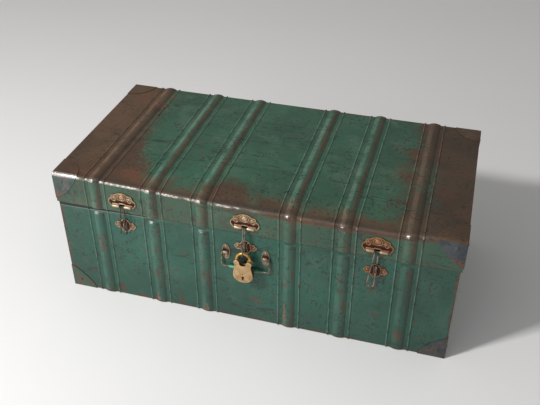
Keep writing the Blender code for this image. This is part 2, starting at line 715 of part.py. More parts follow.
def build_bracket(name, x, carrier):
    """An oval plate with two rivets and a raised eye for the bail."""
    outline = [
        (BRACKET_HALF_WIDTH * math.cos(turn), BRACKET_HALF_HEIGHT * math.sin(turn))
        for turn in (math.tau * step / 16 for step in range(16))
    ]
    at = empty(name + "_seat", (x, -FIT, 0.0), carrier)
    plate = add(name, plate_mesh(name, outline, PLATE), OLD_BRASS, at)
    axis_y = FIT - BRACKET_PIVOT_OUT
    eye = BAIL_WIRE + BORE_CLEARANCE + EYE_WALL
    tube = drum_mesh("eye", eye, -EYE_HALF_LENGTH, EYE_HALF_LENGTH, "X", 12, (0.0, axis_y, 0.0))
    combine(plate, tool(name + "_eye", tube, at), "UNION")
    thick = eye * EYE_WEB_SHARE
    web = box_mesh("web", (-EYE_HALF_LENGTH, axis_y, -thick), (EYE_HALF_LENGTH, -PLATE / 2, thick))
    combine(plate, tool(name + "_web", web, at), "UNION")
    reach = EYE_HALF_LENGTH + EYE_WALL
    bore = drum_mesh("bore", BAIL_WIRE + BORE_CLEARANCE, -reach, reach, "X", 12, (0.0, axis_y, 0.0))
    combine(plate, tool(name + "_bore", bore, at), "DIFFERENCE")
    for side in (-1, 1):
        head = rivet_mesh(name, RIVET_RADIUS, RIVET_RISE, (0.0, -PLATE, side * BRACKET_RIVET_DROP), -1)
        combine(plate, tool(f"{name}_rivet_{side}", head, at), "UNION")


def grip_mesh(name):
    """A rolled grip sleeve along X with tapered ends, bored for the bail."""
    bore = BAIL_WIRE + FIT
    profile = [
        (GRIP_END_RADIUS, -GRIP_HALF_LENGTH),
        (GRIP_RADIUS, GRIP_TAPER - GRIP_HALF_LENGTH),
        (GRIP_RADIUS, GRIP_HALF_LENGTH - GRIP_TAPER),
        (GRIP_END_RADIUS, GRIP_HALF_LENGTH),
        (bore, GRIP_HALF_LENGTH),
        (bore, -GRIP_HALF_LENGTH),
    ]
    bm = bmesh.new()
    ring = [bm.verts.new((radius, 0.0, along)) for radius, along in profile]
    edges = [bm.edges.new(pair) for pair in zip(ring, ring[1:] + ring[:1])]
    bmesh.ops.spin(
        bm, geom=ring + edges, cent=(0, 0, 0), axis=(0, 0, 1), angle=math.tau, steps=12, use_merge=True
    )
    bmesh.ops.remove_doubles(bm, verts=bm.verts, dist=1e-6)
    bmesh.ops.recalc_face_normals(bm, faces=bm.faces)
    bm.transform(Matrix.Rotation(math.pi / 2, 4, "Y"))
    mesh = mesh_from(bm, name)
    smooth(mesh)
    return mesh


def build_handle(word, at, turn, body):
    """Two brackets, a bail and a grip on a wall; at is the pivot's foot on the wall."""
    carrier = empty(word + "_handle_seat", at, body, (0.0, 0.0, turn))
    for side_word, side in (("left", -1), ("right", 1)):
        build_bracket(f"{word}_bracket_{side_word}", side * BRACKET_SPAN, carrier)
    pivot = empty(word + "_handle_axis", (0.0, -BRACKET_PIVOT_OUT, 0.0), carrier)
    half = [
        (BRACKET_SPAN - BAIL_END_INSIDE, 0.0, 0.0),
        (BAIL_HALF_WIDTH, 0.0, 0.0),
        (BAIL_HALF_WIDTH, 0.0, -BAIL_DROP),
    ]
    corners = half + [(-a, b, c) for a, b, c in reversed(half)]
    wire(word + "_bail", rounded_path(corners, BAIL_BEND), BAIL_WIRE, DARK_WIRE, pivot)
    grip = add(word + "_grip", grip_mesh(word + "_grip"), GRIP_PAINT, pivot)
    grip.location = (0.0, 0.0, -BAIL_DROP)


# Padlock


def padlock_outline():
    """The case seen from the front: two round ears, a notch, full cheeks and a round base."""
    ear_z = PADLOCK_EAR_TOP_Z - PADLOCK_EAR_RADIUS
    ear_x = SHACKLE_HALF_WIDTH
    middle_z = PADLOCK_BOTTOM_Z + PADLOCK_HALF_WIDTH * PADLOCK_BASE_SHARE
    half = [
        (PADLOCK_HALF_WIDTH * math.sin(turn), middle_z - (middle_z - PADLOCK_BOTTOM_Z) * math.cos(turn))
        for turn in (math.pi / 2 * step / 6 for step in range(7))
    ]
    half.append((PADLOCK_HALF_WIDTH * PADLOCK_CHEEK_SHARE, middle_z + PADLOCK_CHEEK_LIFT))
    half.append((ear_x + PADLOCK_EAR_RADIUS * PADLOCK_NECK_SHARE, middle_z + PADLOCK_NECK_LIFT))
    half += arc((ear_x, ear_z), PADLOCK_EAR_RADIUS, -8, 172, 8)
    half.append((PADLOCK_EAR_RADIUS * PADLOCK_NOTCH_SHARE, PADLOCK_NOTCH_Z))
    half.append((0.0, PADLOCK_NOTCH_Z - PADLOCK_NOTCH_DIP))
    return [(x, z - SHACKLE_BAR_Z) for x, z in mirrored(half)]


def build_padlock(link_axis):
    """The padlock, modelled round the shackle's bar: shackle, pivot pin and slotted case."""
    bar = empty("padlock_axis", (PATTERN_SHIFT, FRONT_Y - PADLOCK_OUT, SHACKLE_BAR_Z), link_axis)
    pin_z = PADLOCK_PIN_Z - SHACKLE_BAR_Z
    arch = arc((0.0, -SHACKLE_HALF_WIDTH), SHACKLE_HALF_WIDTH, 0, 180, 12)
    path = [(SHACKLE_HALF_WIDTH, 0.0, pin_z)] + [(x, 0.0, z) for x, z in arch]
    half_eye = SHACKLE_WIRE - FIT
    pin_at = (-SHACKLE_HALF_WIDTH, 0.0, pin_z)
    lug = drum_mesh("padlock_shackle", SHACKLE_EYE_RADIUS, -half_eye, half_eye, "Y", 16, pin_at)
    path.append(pin_at)
    shackle = add("padlock_shackle", lug, PADLOCK_BRASS, bar)
    hoop = wire("shackle_hoop", path, SHACKLE_WIRE, PADLOCK_BRASS, bar)
    hoop.data.bevel_resolution = 2
    bpy.context.view_layer.update()
    graph = bpy.context.evaluated_depsgraph_get()
    mesh = bpy.data.meshes.new_from_object(hoop.evaluated_get(graph))
    bpy.data.objects.remove(hoop, do_unlink=True)
    bm = bmesh.new()
    bm.from_mesh(mesh)
    bmesh.ops.remove_doubles(bm, verts=bm.verts, dist=1e-6)
    bm.to_mesh(mesh)
    bm.free()
    combine(shackle, tool("shackle_hoop_shape", mesh, bar), "UNION")
    bore_radius = PADLOCK_PIN_RADIUS + BORE_CLEARANCE
    long_bore = drum_mesh("bore", bore_radius, -PADLOCK_THICKNESS, PADLOCK_THICKNESS, "Y", 12, pin_at)
    bore = tool("padlock_bore", long_bore, bar)
    combine(shackle, bore, "DIFFERENCE")
    hinge = empty("padlock_case_axis", pin_at, bar)
    case_mesh = plate_mesh("padlock_case", padlock_outline(), PADLOCK_THICKNESS)
    case_mesh.transform(Matrix.Translation(Vector((0.0, PADLOCK_THICKNESS / 2, 0.0)) - Vector(pin_at)))
    case = add("padlock_case", case_mesh, PADLOCK_BRASS, hinge)
    gap = SHACKLE_WIRE + PADLOCK_SLOT_CLEARANCE
    floor = pin_z - SHACKLE_EYE_RADIUS - PADLOCK_SLOT_CLEARANCE
    slot = box_mesh("slot", (-2 * PADLOCK_HALF_WIDTH, -gap, floor), (2 * PADLOCK_HALF_WIDTH, gap, 0.0))
    combine(case, tool("padlock_slot", slot, bar), "DIFFERENCE")
    combine(case, bore, "DIFFERENCE")
    face = -PADLOCK_THICKNESS / 2
    key_z = KEYHOLE_Z - SHACKLE_BAR_Z
    key_at = (0.0, 0.0, key_z)
    deep = face + KEYHOLE_DEPTH
    hole = drum_mesh("keyhole", KEYHOLE_RADIUS, face - KEYHOLE_DEPTH, deep, "Y", 12, key_at)
    combine(case, tool("padlock_keyhole", hole, bar), "DIFFERENCE")
    ward = box_mesh(
        "ward",
        (-KEYHOLE_RADIUS / 2, face - KEYHOLE_DEPTH, key_z - KEYHOLE_LENGTH),
        (KEYHOLE_RADIUS / 2, deep, key_z),
    )
    combine(case, tool("padlock_ward", ward, bar), "DIFFERENCE")
    half_pin = PADLOCK_THICKNESS / 2
    pin = drum_mesh("padlock_pin", PADLOCK_PIN_RADIUS, -half_pin, half_pin, "Y", 12)
    add("padlock_pin", pin, DARK_WIRE, hinge)


# Hinges


def build_hinge(index, x, body, lid_axis):
    """One butt hinge: a body leaf, a lid leaf with two knuckles, and the pin."""
    knuckle = HINGE_KNUCKLE
    gap = FIT
    body_face = -HINGE_OUT - BODY_SET_IN_FRONT + FIT
    lid_face = -HINGE_OUT + FIT
    leaves = (
        ("body", body, body_face, -HINGE_LEAF_HEIGHT, -gap, ((-HINGE_MIDDLE_HALF, HINGE_MIDDLE_HALF),)),
        ("lid", lid_axis, lid_face, gap, HINGE_LEAF_HEIGHT, (
            (-HINGE_HALF_WIDTH, -HINGE_MIDDLE_HALF - gap),
            (HINGE_MIDDLE_HALF + gap, HINGE_HALF_WIDTH),
        )),
    )
    pin_radius = HINGE_PIN_RADIUS + BORE_CLEARANCE
    for word, carrier, face, low, high, spans in leaves:
        name = f"hinge_{index}_{word}_leaf"
        at = empty(name + "_seat", (x, 0.0, 0.0), carrier)
        if word == "body":
            at.location = (x, HINGE_Y, HINGE_Z)
        start = low if word == "body" else knuckle + gap
        end = -knuckle - gap if word == "body" else high
        flat = box_mesh(
            name, (-HINGE_HALF_WIDTH, face, start), (HINGE_HALF_WIDTH, face + HINGE_LEAF, end)
        )
        leaf = add(name, flat, HINGE_STEEL, at)
        for number, (first, last) in enumerate(spans):
            neck = (end - FIT, 0.0) if word == "body" else (0.0, start + FIT)
            web = box_mesh("web", (first, face, neck[0]), (last, face + HINGE_LEAF, neck[1]))
            combine(leaf, tool(f"{name}_neck_{number}", web, at), "UNION")
            shelf = box_mesh("shelf", (first, face + FIT, -HINGE_LEAF / 2), (last, 0.0, HINGE_LEAF / 2))
            combine(leaf, tool(f"{name}_shelf_{number}", shelf, at), "UNION")
            tube = drum_mesh("knuckle", knuckle, first, last, "X", 12)
            combine(leaf, tool(f"{name}_knuckle_{number}", tube, at), "UNION")
        bore = drum_mesh("bore", pin_radius, -2 * HINGE_HALF_WIDTH, 2 * HINGE_HALF_WIDTH, "X", 12)
        combine(leaf, tool(name + "_bore", bore, at), "DIFFERENCE")
    reach = HINGE_HALF_WIDTH + HINGE_PIN_HEAD
    pin = drum_mesh(f"hinge_{index}_pin", HINGE_PIN_RADIUS, -reach, reach, "X", 12)
    seat = empty(f"hinge_{index}_axis", (x, HINGE_Y, HINGE_Z), body)
    add(f"hinge_{index}_pin", pin, HINGE_STEEL, seat)


def main():
    """Builds the body, the lid and what hangs on them."""
    body = empty("trunk_body", (0.0, STAND_OFFSET_Y, 0.0))
    lid_axis = empty("lid_axis", (0.0, HINGE_Y, HINGE_Z), body)
    lid = empty("lid_frame", -lid_axis.location, lid_axis)
    build_body_walls(body)
    build_body_panels(body)
    build_rim(body)
    build_lid_sheet(lid)
    build_lid_ends(lid)
    build_caps(body, lid)
    for word, side in (("left", -1), ("centre", 0), ("right", 1)):
        x = PATTERN_SHIFT + side * CATCH_X
        build_hasp_plate(word + "_hasp_plate", x, lid)
        build_staple(word, x, body)
    build_link("left_link", PATTERN_SHIFT - CATCH_X, LEFT_LINK_LENGTH, lid)
    build_link("right_link", PATTERN_SHIFT + CATCH_X, RIGHT_LINK_LENGTH, lid)
    build_padlock_link(lid)
    build_padlock(lid)
    build_handle("front", (PATTERN_SHIFT, -BODY_HALF_DEPTH, FRONT_HANDLE_Z), 0.0, body)
    build_handle("left_end", (-BODY_HALF_LENGTH, 0.0, END_HANDLE_Z), -math.pi / 2, body)
    build_handle("right_end", (BODY_HALF_LENGTH, 0.0, END_HANDLE_Z), math.pi / 2, body)
    for index in (1, 2, 3):
        build_hinge(index, (index - 2) * HINGE_X, body, lid_axis)


main()
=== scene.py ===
"""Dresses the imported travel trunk: worn green sheet, brass hasps, padlock, handles, light and camera."""

import json
import logging
import math
from collections.abc import Callable, Iterator, Sequence
from contextlib import contextmanager
from dataclasses import dataclass
from enum import Enum
from functools import reduce
from operator import or_
from typing import Any

import bmesh
import bpy
from mathutils import Matrix, Vector

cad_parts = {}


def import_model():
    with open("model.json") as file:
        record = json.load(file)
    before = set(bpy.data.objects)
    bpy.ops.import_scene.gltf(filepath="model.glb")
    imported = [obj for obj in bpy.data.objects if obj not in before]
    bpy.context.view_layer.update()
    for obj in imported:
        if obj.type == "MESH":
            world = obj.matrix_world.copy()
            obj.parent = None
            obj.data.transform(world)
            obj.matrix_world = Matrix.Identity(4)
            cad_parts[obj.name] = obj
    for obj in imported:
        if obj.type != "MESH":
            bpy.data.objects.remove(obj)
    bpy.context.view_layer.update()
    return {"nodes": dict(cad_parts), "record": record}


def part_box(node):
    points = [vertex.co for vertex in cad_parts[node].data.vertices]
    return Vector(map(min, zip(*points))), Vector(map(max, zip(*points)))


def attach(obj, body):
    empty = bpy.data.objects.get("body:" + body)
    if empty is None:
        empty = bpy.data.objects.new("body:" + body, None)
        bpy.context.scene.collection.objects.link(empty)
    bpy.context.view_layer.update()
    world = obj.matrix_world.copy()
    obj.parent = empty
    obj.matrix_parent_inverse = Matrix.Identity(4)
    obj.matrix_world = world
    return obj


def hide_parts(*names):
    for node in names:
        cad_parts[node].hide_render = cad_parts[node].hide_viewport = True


LOG = logging.getLogger("trunk")
TINY = 1e-6
# How far a cutting tool starts outside the piece
PAST = 0.001
SIDES = {"left": -1, "right": 1}

Piece = bpy.types.Object
Look = bpy.types.Material
Point = tuple[float, float, float]
Flat = tuple[float, float]
Colour = tuple[float, float, float, float]
Spot = tuple[float, float, float, float]
Measure = Callable[[Vector], float]


class Body(str, Enum):
    """The rigid bodies of the frame that pieces ride on."""

    BOX = "body"
    LID = "lid"
    LEFT_LINK = "left_link"
    CENTRE_LINK = "centre_link"
    RIGHT_LINK = "right_link"
    SHACKLE = "shackle"
    PADLOCK = "padlock"
    FRONT_HANDLE = "front_handle"
    LEFT_HANDLE = "left_end_handle"
    RIGHT_HANDLE = "right_end_handle"


class Slot(str, Enum):
    """The record's material slots."""

    PAINT = "green_paint"
    LID_PAINT = "worn_lid_paint"
    CAP = "blued_steel"
    WIRE = "dark_wire"
    PLATE = "old_brass"
    PADLOCK = "padlock_brass"
    GRIP = "grip_paint"
    HINGE = "hinge_steel"


class Side(Enum):
    """The two walls that carry ribs, with the way each one faces along Y."""

    FRONT = -1
    BACK = 1


@dataclass(frozen=True)
class Trunk:
    """The trunk's main sizes in metres, with the box's middle taken from the frame."""

    half_length: float
    centre_y: float
    half_depth: float = 0.192
    lid_top: float = 0.274
    lid_edge: float = 0.210
    rim_top: float = 0.2215
    foot: float = 0.0011
    sheet: float = 0.0008
    fit: float = 0.0003
    bend: float = 0.007
    set_in_front: float = 0.0015
    set_in_end: float = 0.003
    shift: float = -0.0035
    rib_rise: float = 0.0033
    rib_half: float = 0.012
    bead_at: float = 0.020
    bead_half: float = 0.0023
    bead_rise: float = 0.0019
    rib_at: tuple[float, ...] = (0.082, 0.180, 0.292)
    dome_top: float = 0.201
    dome_length: float = 0.011

    @property
    def ribs(self) -> list[float]:
        """The X of each rib, left to right."""
        return sorted(self.shift + side * at for at in self.rib_at for side in (-1, 1))

    @property
    def front(self) -> float:
        """The Y of the lid's front."""
        return self.centre_y - self.half_depth

    @property
    def back(self) -> float:
        """The Y of the lid's back."""
        return self.centre_y + self.half_depth

    @property
    def shoulder(self) -> float:
        """The height at which the lid's bends start."""
        return self.lid_top - self.bend

    @property
    def dome_start(self) -> float:
        """The height at which the walls' ribs start to end."""
        return self.dome_top - self.dome_length


def tone(code: str) -> Colour:
    """Turns a display colour code of six hexadecimal digits into a linear colour."""
    parts = [int(code[index : index + 2], 16) / 255 for index in (0, 2, 4)]
    linear = [p / 12.92 if p <= 0.04045 else ((p + 0.055) / 1.055) ** 2.4 for p in parts]
    return (linear[0], linear[1], linear[2], 1.0)


def smooth(value: float, low: float, high: float) -> float:
    """A smooth step from 0 at low to 1 at high; low may be above high."""
    share = min(1.0, max(0.0, (value - low) / (high - low)))
    return share * share * (3.0 - 2.0 * share)


# Work on pieces


def only(piece: Piece) -> None:
    """Makes a piece the only selected one, and the active one."""
    bpy.ops.object.select_all(action="DESELECT")
    piece.select_set(True)
    bpy.context.view_layer.objects.active = piece


@contextmanager
def editing(piece: Piece) -> Iterator[Piece]:
    """Opens a piece in edit mode for a while, with everything selected."""
    only(piece)
    bpy.ops.object.mode_set(mode="EDIT")
    bpy.ops.mesh.select_all(action="SELECT")
    yield piece
    bpy.ops.object.mode_set(mode="OBJECT")


def pick(piece: Piece, kind: str, test: Callable[[Any], bool]) -> None:
    """Selects the parts of the edited mesh that pass a test.

    Args:
        piece: the object in edit mode.
        kind: VERT, EDGE or FACE.
        test: takes a vertex, edge or face and says whether it is wanted.
    """
    bpy.ops.mesh.select_mode(type=kind)
    bpy.ops.mesh.select_all(action="DESELECT")
    mesh = bmesh.from_edit_mesh(piece.data)
    for part in {"VERT": mesh.verts, "EDGE": mesh.edges, "FACE": mesh.faces}[kind]:
        if test(part):
            part.select = True
    mesh.select_flush_mode()
    bmesh.update_edit_mesh(piece.data)


def added(name: str) -> Piece:
    """Names the piece that an operator has just added."""
    piece = bpy.context.view_layer.objects.active
    piece.name = piece.data.name = name
    return piece


def put(piece: Piece) -> Piece:
    """Moves a piece's place, turn and scale into its mesh."""
    only(piece)
    bpy.ops.object.transform_apply(location=True, rotation=True, scale=True)
    return piece


def applied(piece: Piece, kind: str, **settings: Any) -> Piece:
    """Adds a modifier with these settings and applies it.

    Args:
        piece: the object to change.
        kind: the modifier's type.
        settings: its values by name.

    Returns:
        The same piece.
    """
    only(piece)
    modifier = piece.modifiers.new(kind.lower(), kind)
    for key, value in settings.items():
        setattr(modifier, key, value)
    bpy.ops.object.modifier_apply(modifier=modifier.name)
    return piece


def bevelled(piece: Piece, width: float, degrees: float, segments: int = 2) -> Piece:
    """Rounds the edges that are sharper than an angle."""
    limit = math.radians(degrees)
    return applied(piece, "BEVEL", width=width, segments=segments, limit_method="ANGLE", angle_limit=limit)


def combined(piece: Piece, tool: Piece, operation: str = "DIFFERENCE", **settings: Any) -> Piece:
    """Cuts a piece with a tool's shape, or keeps what they share, and removes the tool."""
    applied(piece, "BOOLEAN", object=tool, operation=operation, solver="EXACT", **settings)
    removed(tool)
    return piece


def pushed(piece: Piece, weight: Measure, **settings: Any) -> Piece:
    """Displaces each point of a piece by a share that depends on its place.

    Args:
        piece: the piece to change.
        weight: takes a point's place and gives its share, 0 to 1.
        settings: the displacement's strength and direction.

    Returns:
        The same piece.
    """
    group = piece.vertex_groups.new(name="push")
    for vertex in piece.data.vertices:
        group.add([vertex.index], weight(vertex.co), "REPLACE")
    return applied(piece, "DISPLACE", mid_level=0.0, vertex_group=group.name, **settings)


def softened(piece: Piece, degrees: float = 35.0) -> Piece:
    """Shades a piece smooth, apart from edges sharper than an angle."""
    only(piece)
    bpy.ops.object.shade_smooth_by_angle(angle=math.radians(degrees))
    return piece


def coated(piece: Piece, *looks: Look) -> Piece:
    """Gives a piece these materials and no others."""
    piece.data.materials.clear()
    for look in looks:
        piece.data.materials.append(look)
    return piece


def noted(pieces: Sequence[Piece], **values: Measure) -> None:
    """Stores named numbers for each point of some pieces, for their finish."""
    for piece in pieces:
        for key, value in values.items():
            numbers = [value(vertex.co) for vertex in piece.data.vertices]
            piece.data.attributes.new(key, "FLOAT", "POINT").data.foreach_set("value", numbers)


def joined(pieces: Sequence[Piece], name: str) -> Piece:
    """Joins pieces, all at the origin, into the first one."""
    only(pieces[0])
    for piece in pieces[1:]:
        piece.select_set(True)
    bpy.ops.object.join()
    return added(name)


def copied(piece: Piece, name: str, move: Matrix) -> Piece:
    """Copies a piece with its own mesh, moved within that mesh."""
    twin = bpy.data.objects.new(name, piece.data.copy())
    twin.data.name = name
    bpy.context.scene.collection.objects.link(twin)
    twin.data.transform(move)
    if move.determinant() < 0.0:
        twin.data.flip_normals()
    return twin


def removed(*pieces: Piece) -> None:
    """Takes pieces out of the scene."""
    for piece in pieces:
        bpy.data.objects.remove(piece, do_unlink=True)


def shifted(x: float, y: float = 0.0, z: float = 0.0) -> Matrix:
    """A plain move."""
    return Matrix.Translation((x, y, z))


def hung(piece: Piece, body: Body, slot: Slot, *nodes: str) -> None:
    """Hands a finished piece to the frame.

    Args:
        piece: the piece, at the origin.
        body: the body that it rides on.
        slot: the record's material slot; not used.
        nodes: the CAD nodes that it stands for.
    """
    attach(piece, body.value)
    if nodes:
        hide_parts(*nodes)
    LOG.info("%s rides on %s", piece.name, body.value)


# Finishes


class Num:
    """A number in a material's node tree, on which sums, products and steps add nodes."""

    def __init__(self, graph: "Graph", socket: Any) -> None:
        """Keeps the tree and the socket that the number comes from."""
        self.graph, self.socket = graph, socket

    def calc(self, operation: str, other: Any = 0.0) -> "Num":
        """Arithmetic with another number."""
        node = self.graph.make("ShaderNodeMath", {0: self, 1: other}, operation=operation)
        return Num(self.graph, node.outputs[0])

    def __add__(self, other: Any) -> "Num":
        """The sum."""
        return self.calc("ADD", other)

    def __sub__(self, other: Any) -> "Num":
        """The difference."""
        return self.calc("SUBTRACT", other)

    def __mul__(self, other: Any) -> "Num":
        """The product."""
        return self.calc("MULTIPLY", other)

    def __or__(self, other: Any) -> "Num":
        """The larger of both."""
        return self.calc("MAXIMUM", other)

    def __abs__(self) -> "Num":
        """The number without its sign."""
        return self.calc("ABSOLUTE")

    def ease(self, low: Any, high: Any) -> "Num":
        """A smooth step from 0 at low to 1 at high; low may be above high."""
        values = {"Value": self, "From Min": low, "From Max": high}
        node = self.graph.make("ShaderNodeMapRange", values, interpolation_type="SMOOTHSTEP")
        return Num(self.graph, node.outputs[0])

    def band(self, start: float, full: float, fade: float, end: float) -> "Num":
        """A smooth step up from start to full, and down again from fade to end."""
        return self.ease(start, full) * self.ease(end, fade)


class Graph:
    """A material's node tree, with short calls for the nodes that the finishes share."""

    def __init__(self, name: str) -> None:
        """Starts a material with its shader and the place of each point."""
        self.material = bpy.data.materials.new(name)
        self.material.use_nodes = True
        self.tree = self.material.node_tree
        self.shader = self.tree.nodes["Principled BSDF"]
        self.where = self.tree.nodes.new("ShaderNodeTexCoord").outputs["Object"]
        place = self.make("ShaderNodeSeparateXYZ", {0: self.where})
        self.x, self.y, self.z = (Num(self, socket) for socket in place.outputs)

    def make(self, kind: str, inputs: dict[Any, Any] | None = None, **settings: Any) -> Any:
        """Adds a node.

        Args:
            kind: the node's type.
            inputs: values or sockets by input name or number.
            settings: the node's own properties.

        Returns:
            The node.
        """
        node = self.tree.nodes.new(kind)
        for key, value in settings.items():
            setattr(node, key, value)
        for key, value in (inputs or {}).items():
            self.join(value, node.inputs[key])
        return node

    def join(self, value: Any, socket: Any) -> None:
        """Links a number or a socket to an input, or sets a plain value on it."""
        source = value.socket if isinstance(value, Num) else value
        if isinstance(source, bpy.types.NodeSocket):
            self.tree.links.new(source, socket)
        else:
            socket.default_value = source

    def mark(self, name: str) -> Num:
        """A number stored on the piece's points."""
        return Num(self, self.make("ShaderNodeAttribute", attribute_name=name).outputs["Fac"])

    def noise(
        self,
        scale: float,
        detail: float,
        stretch: Point = (1.0, 1.0, 1.0),
        turn: float = 0.0,
        roughness: float = 0.5,
    ) -> Num:
        """Fractal noise on the place, turned about Z and stretched along the axes."""
        values = {"Vector": self.where, "Scale": stretch, "Rotation": (0.0, 0.0, turn)}
        place = self.make("ShaderNodeMapping", values).outputs[0]
        values = {"Vector": place, "Scale": scale, "Detail": detail, "Roughness": roughness}
        return Num(self, self.make("ShaderNodeTexNoise", values).outputs["Fac"])

    def mix(self, share: Any, one: Any, two: Any) -> Any:
        """A colour between two colours."""
        return self.make("ShaderNodeMix", {0: share, 6: one, 7: two}, data_type="RGBA").outputs[2]

    def blend(self, share: Any, one: Any, two: Any) -> Num:
        """A number between two numbers."""
        return Num(self, self.make("ShaderNodeMix", {0: share, 2: one, 3: two}, data_type="FLOAT").outputs[0])

    def relief(self, height: Any, depth: float) -> None:
        """Adds fine bumps of a depth in metres."""
        bump = self.make("ShaderNodeBump", {"Height": height, "Strength": 1.0, "Distance": depth})
        self.join(bump.outputs[0], self.shader.inputs["Normal"])

    def paint(self, colour: Any, rough: Any, metal: Any = 0.0) -> Look:
        """Feeds the shader and returns the material."""
        for key, value in (("Base Color", colour), ("Roughness", rough), ("Metallic", metal)):
            self.join(value, self.shader.inputs[key])
        return self.material


@dataclass(frozen=True)
class PaintTones:
    """The colours of the painted sheet and what shows where it has worn."""

    green: Colour
    deep_green: Colour
    grey_green: Colour
    brown: Colour = tone("55402d")
    dark_brown: Colour = tone("443223")
    red_brown: Colour = tone("643e2c")
    pale_green: Colour = tone("85a292")
    tan: Colour = tone("8d7660")
    orange: Colour = tone("8e5430")
    black: Colour = tone("1d211d")
    steel: Colour = tone("b9b4ae")


LID_TONES = PaintTones(tone("2f5a46"), tone("284c3b"), tone("466350"))
WALL_TONES = PaintTones(tone("205546"), tone("1b4538"), tone("365a4d"))

# Places on the front by X and Z, each with its reach along both
LID_PATCH: Spot = (-0.012, 0.257, 0.050, 0.010)
# A painted shadow on the wall behind the padlock, seen through the shackle's hoop.
WALL_PADLOCK_SHADOW: Spot = (-0.0085, 0.1475, 0.013, 0.013)
WALL_RUST: tuple[Spot, ...] = (
    (-0.1885, 0.011, 0.0045, 0.012),
    (-0.0865, 0.012, 0.0055, 0.014),
    (0.0712, 0.030, 0.0030, 0.034),
)
WALL_STAINS: tuple[Spot, ...] = (
    (0.0123, 0.0525, 0.0170, 0.006),
    (-0.1828, 0.1370, 0.0055, 0.008),
    (-0.1849, 0.0760, 0.0055, 0.014),
    (-0.0890, 0.1245, 0.0045, 0.007),
    (-0.0885, 0.0970, 0.0060, 0.014),
    (0.0715, 0.1286, 0.0045, 0.006),
    (0.0704, 0.1070, 0.0055, 0.007),
    (0.1736, 0.1490, 0.0065, 0.004),
    (0.1754, 0.1163, 0.0055, 0.005),
    (0.2870, 0.0400, 0.0090, 0.020),
    (-0.3662, 0.0421, 0.0090, 0.016),
    (-0.1389, 0.0147, 0.0110, 0.008),
    (-0.2971, 0.1203, 0.0050, 0.020),
)
# Long scratches across the lid's top, by their place along Y and their strength
LID_RULINGS = ((0.098, 1.0), (0.060, 0.4), (0.020, 1.0), (-0.030, 0.45), (-0.077, 1.0))


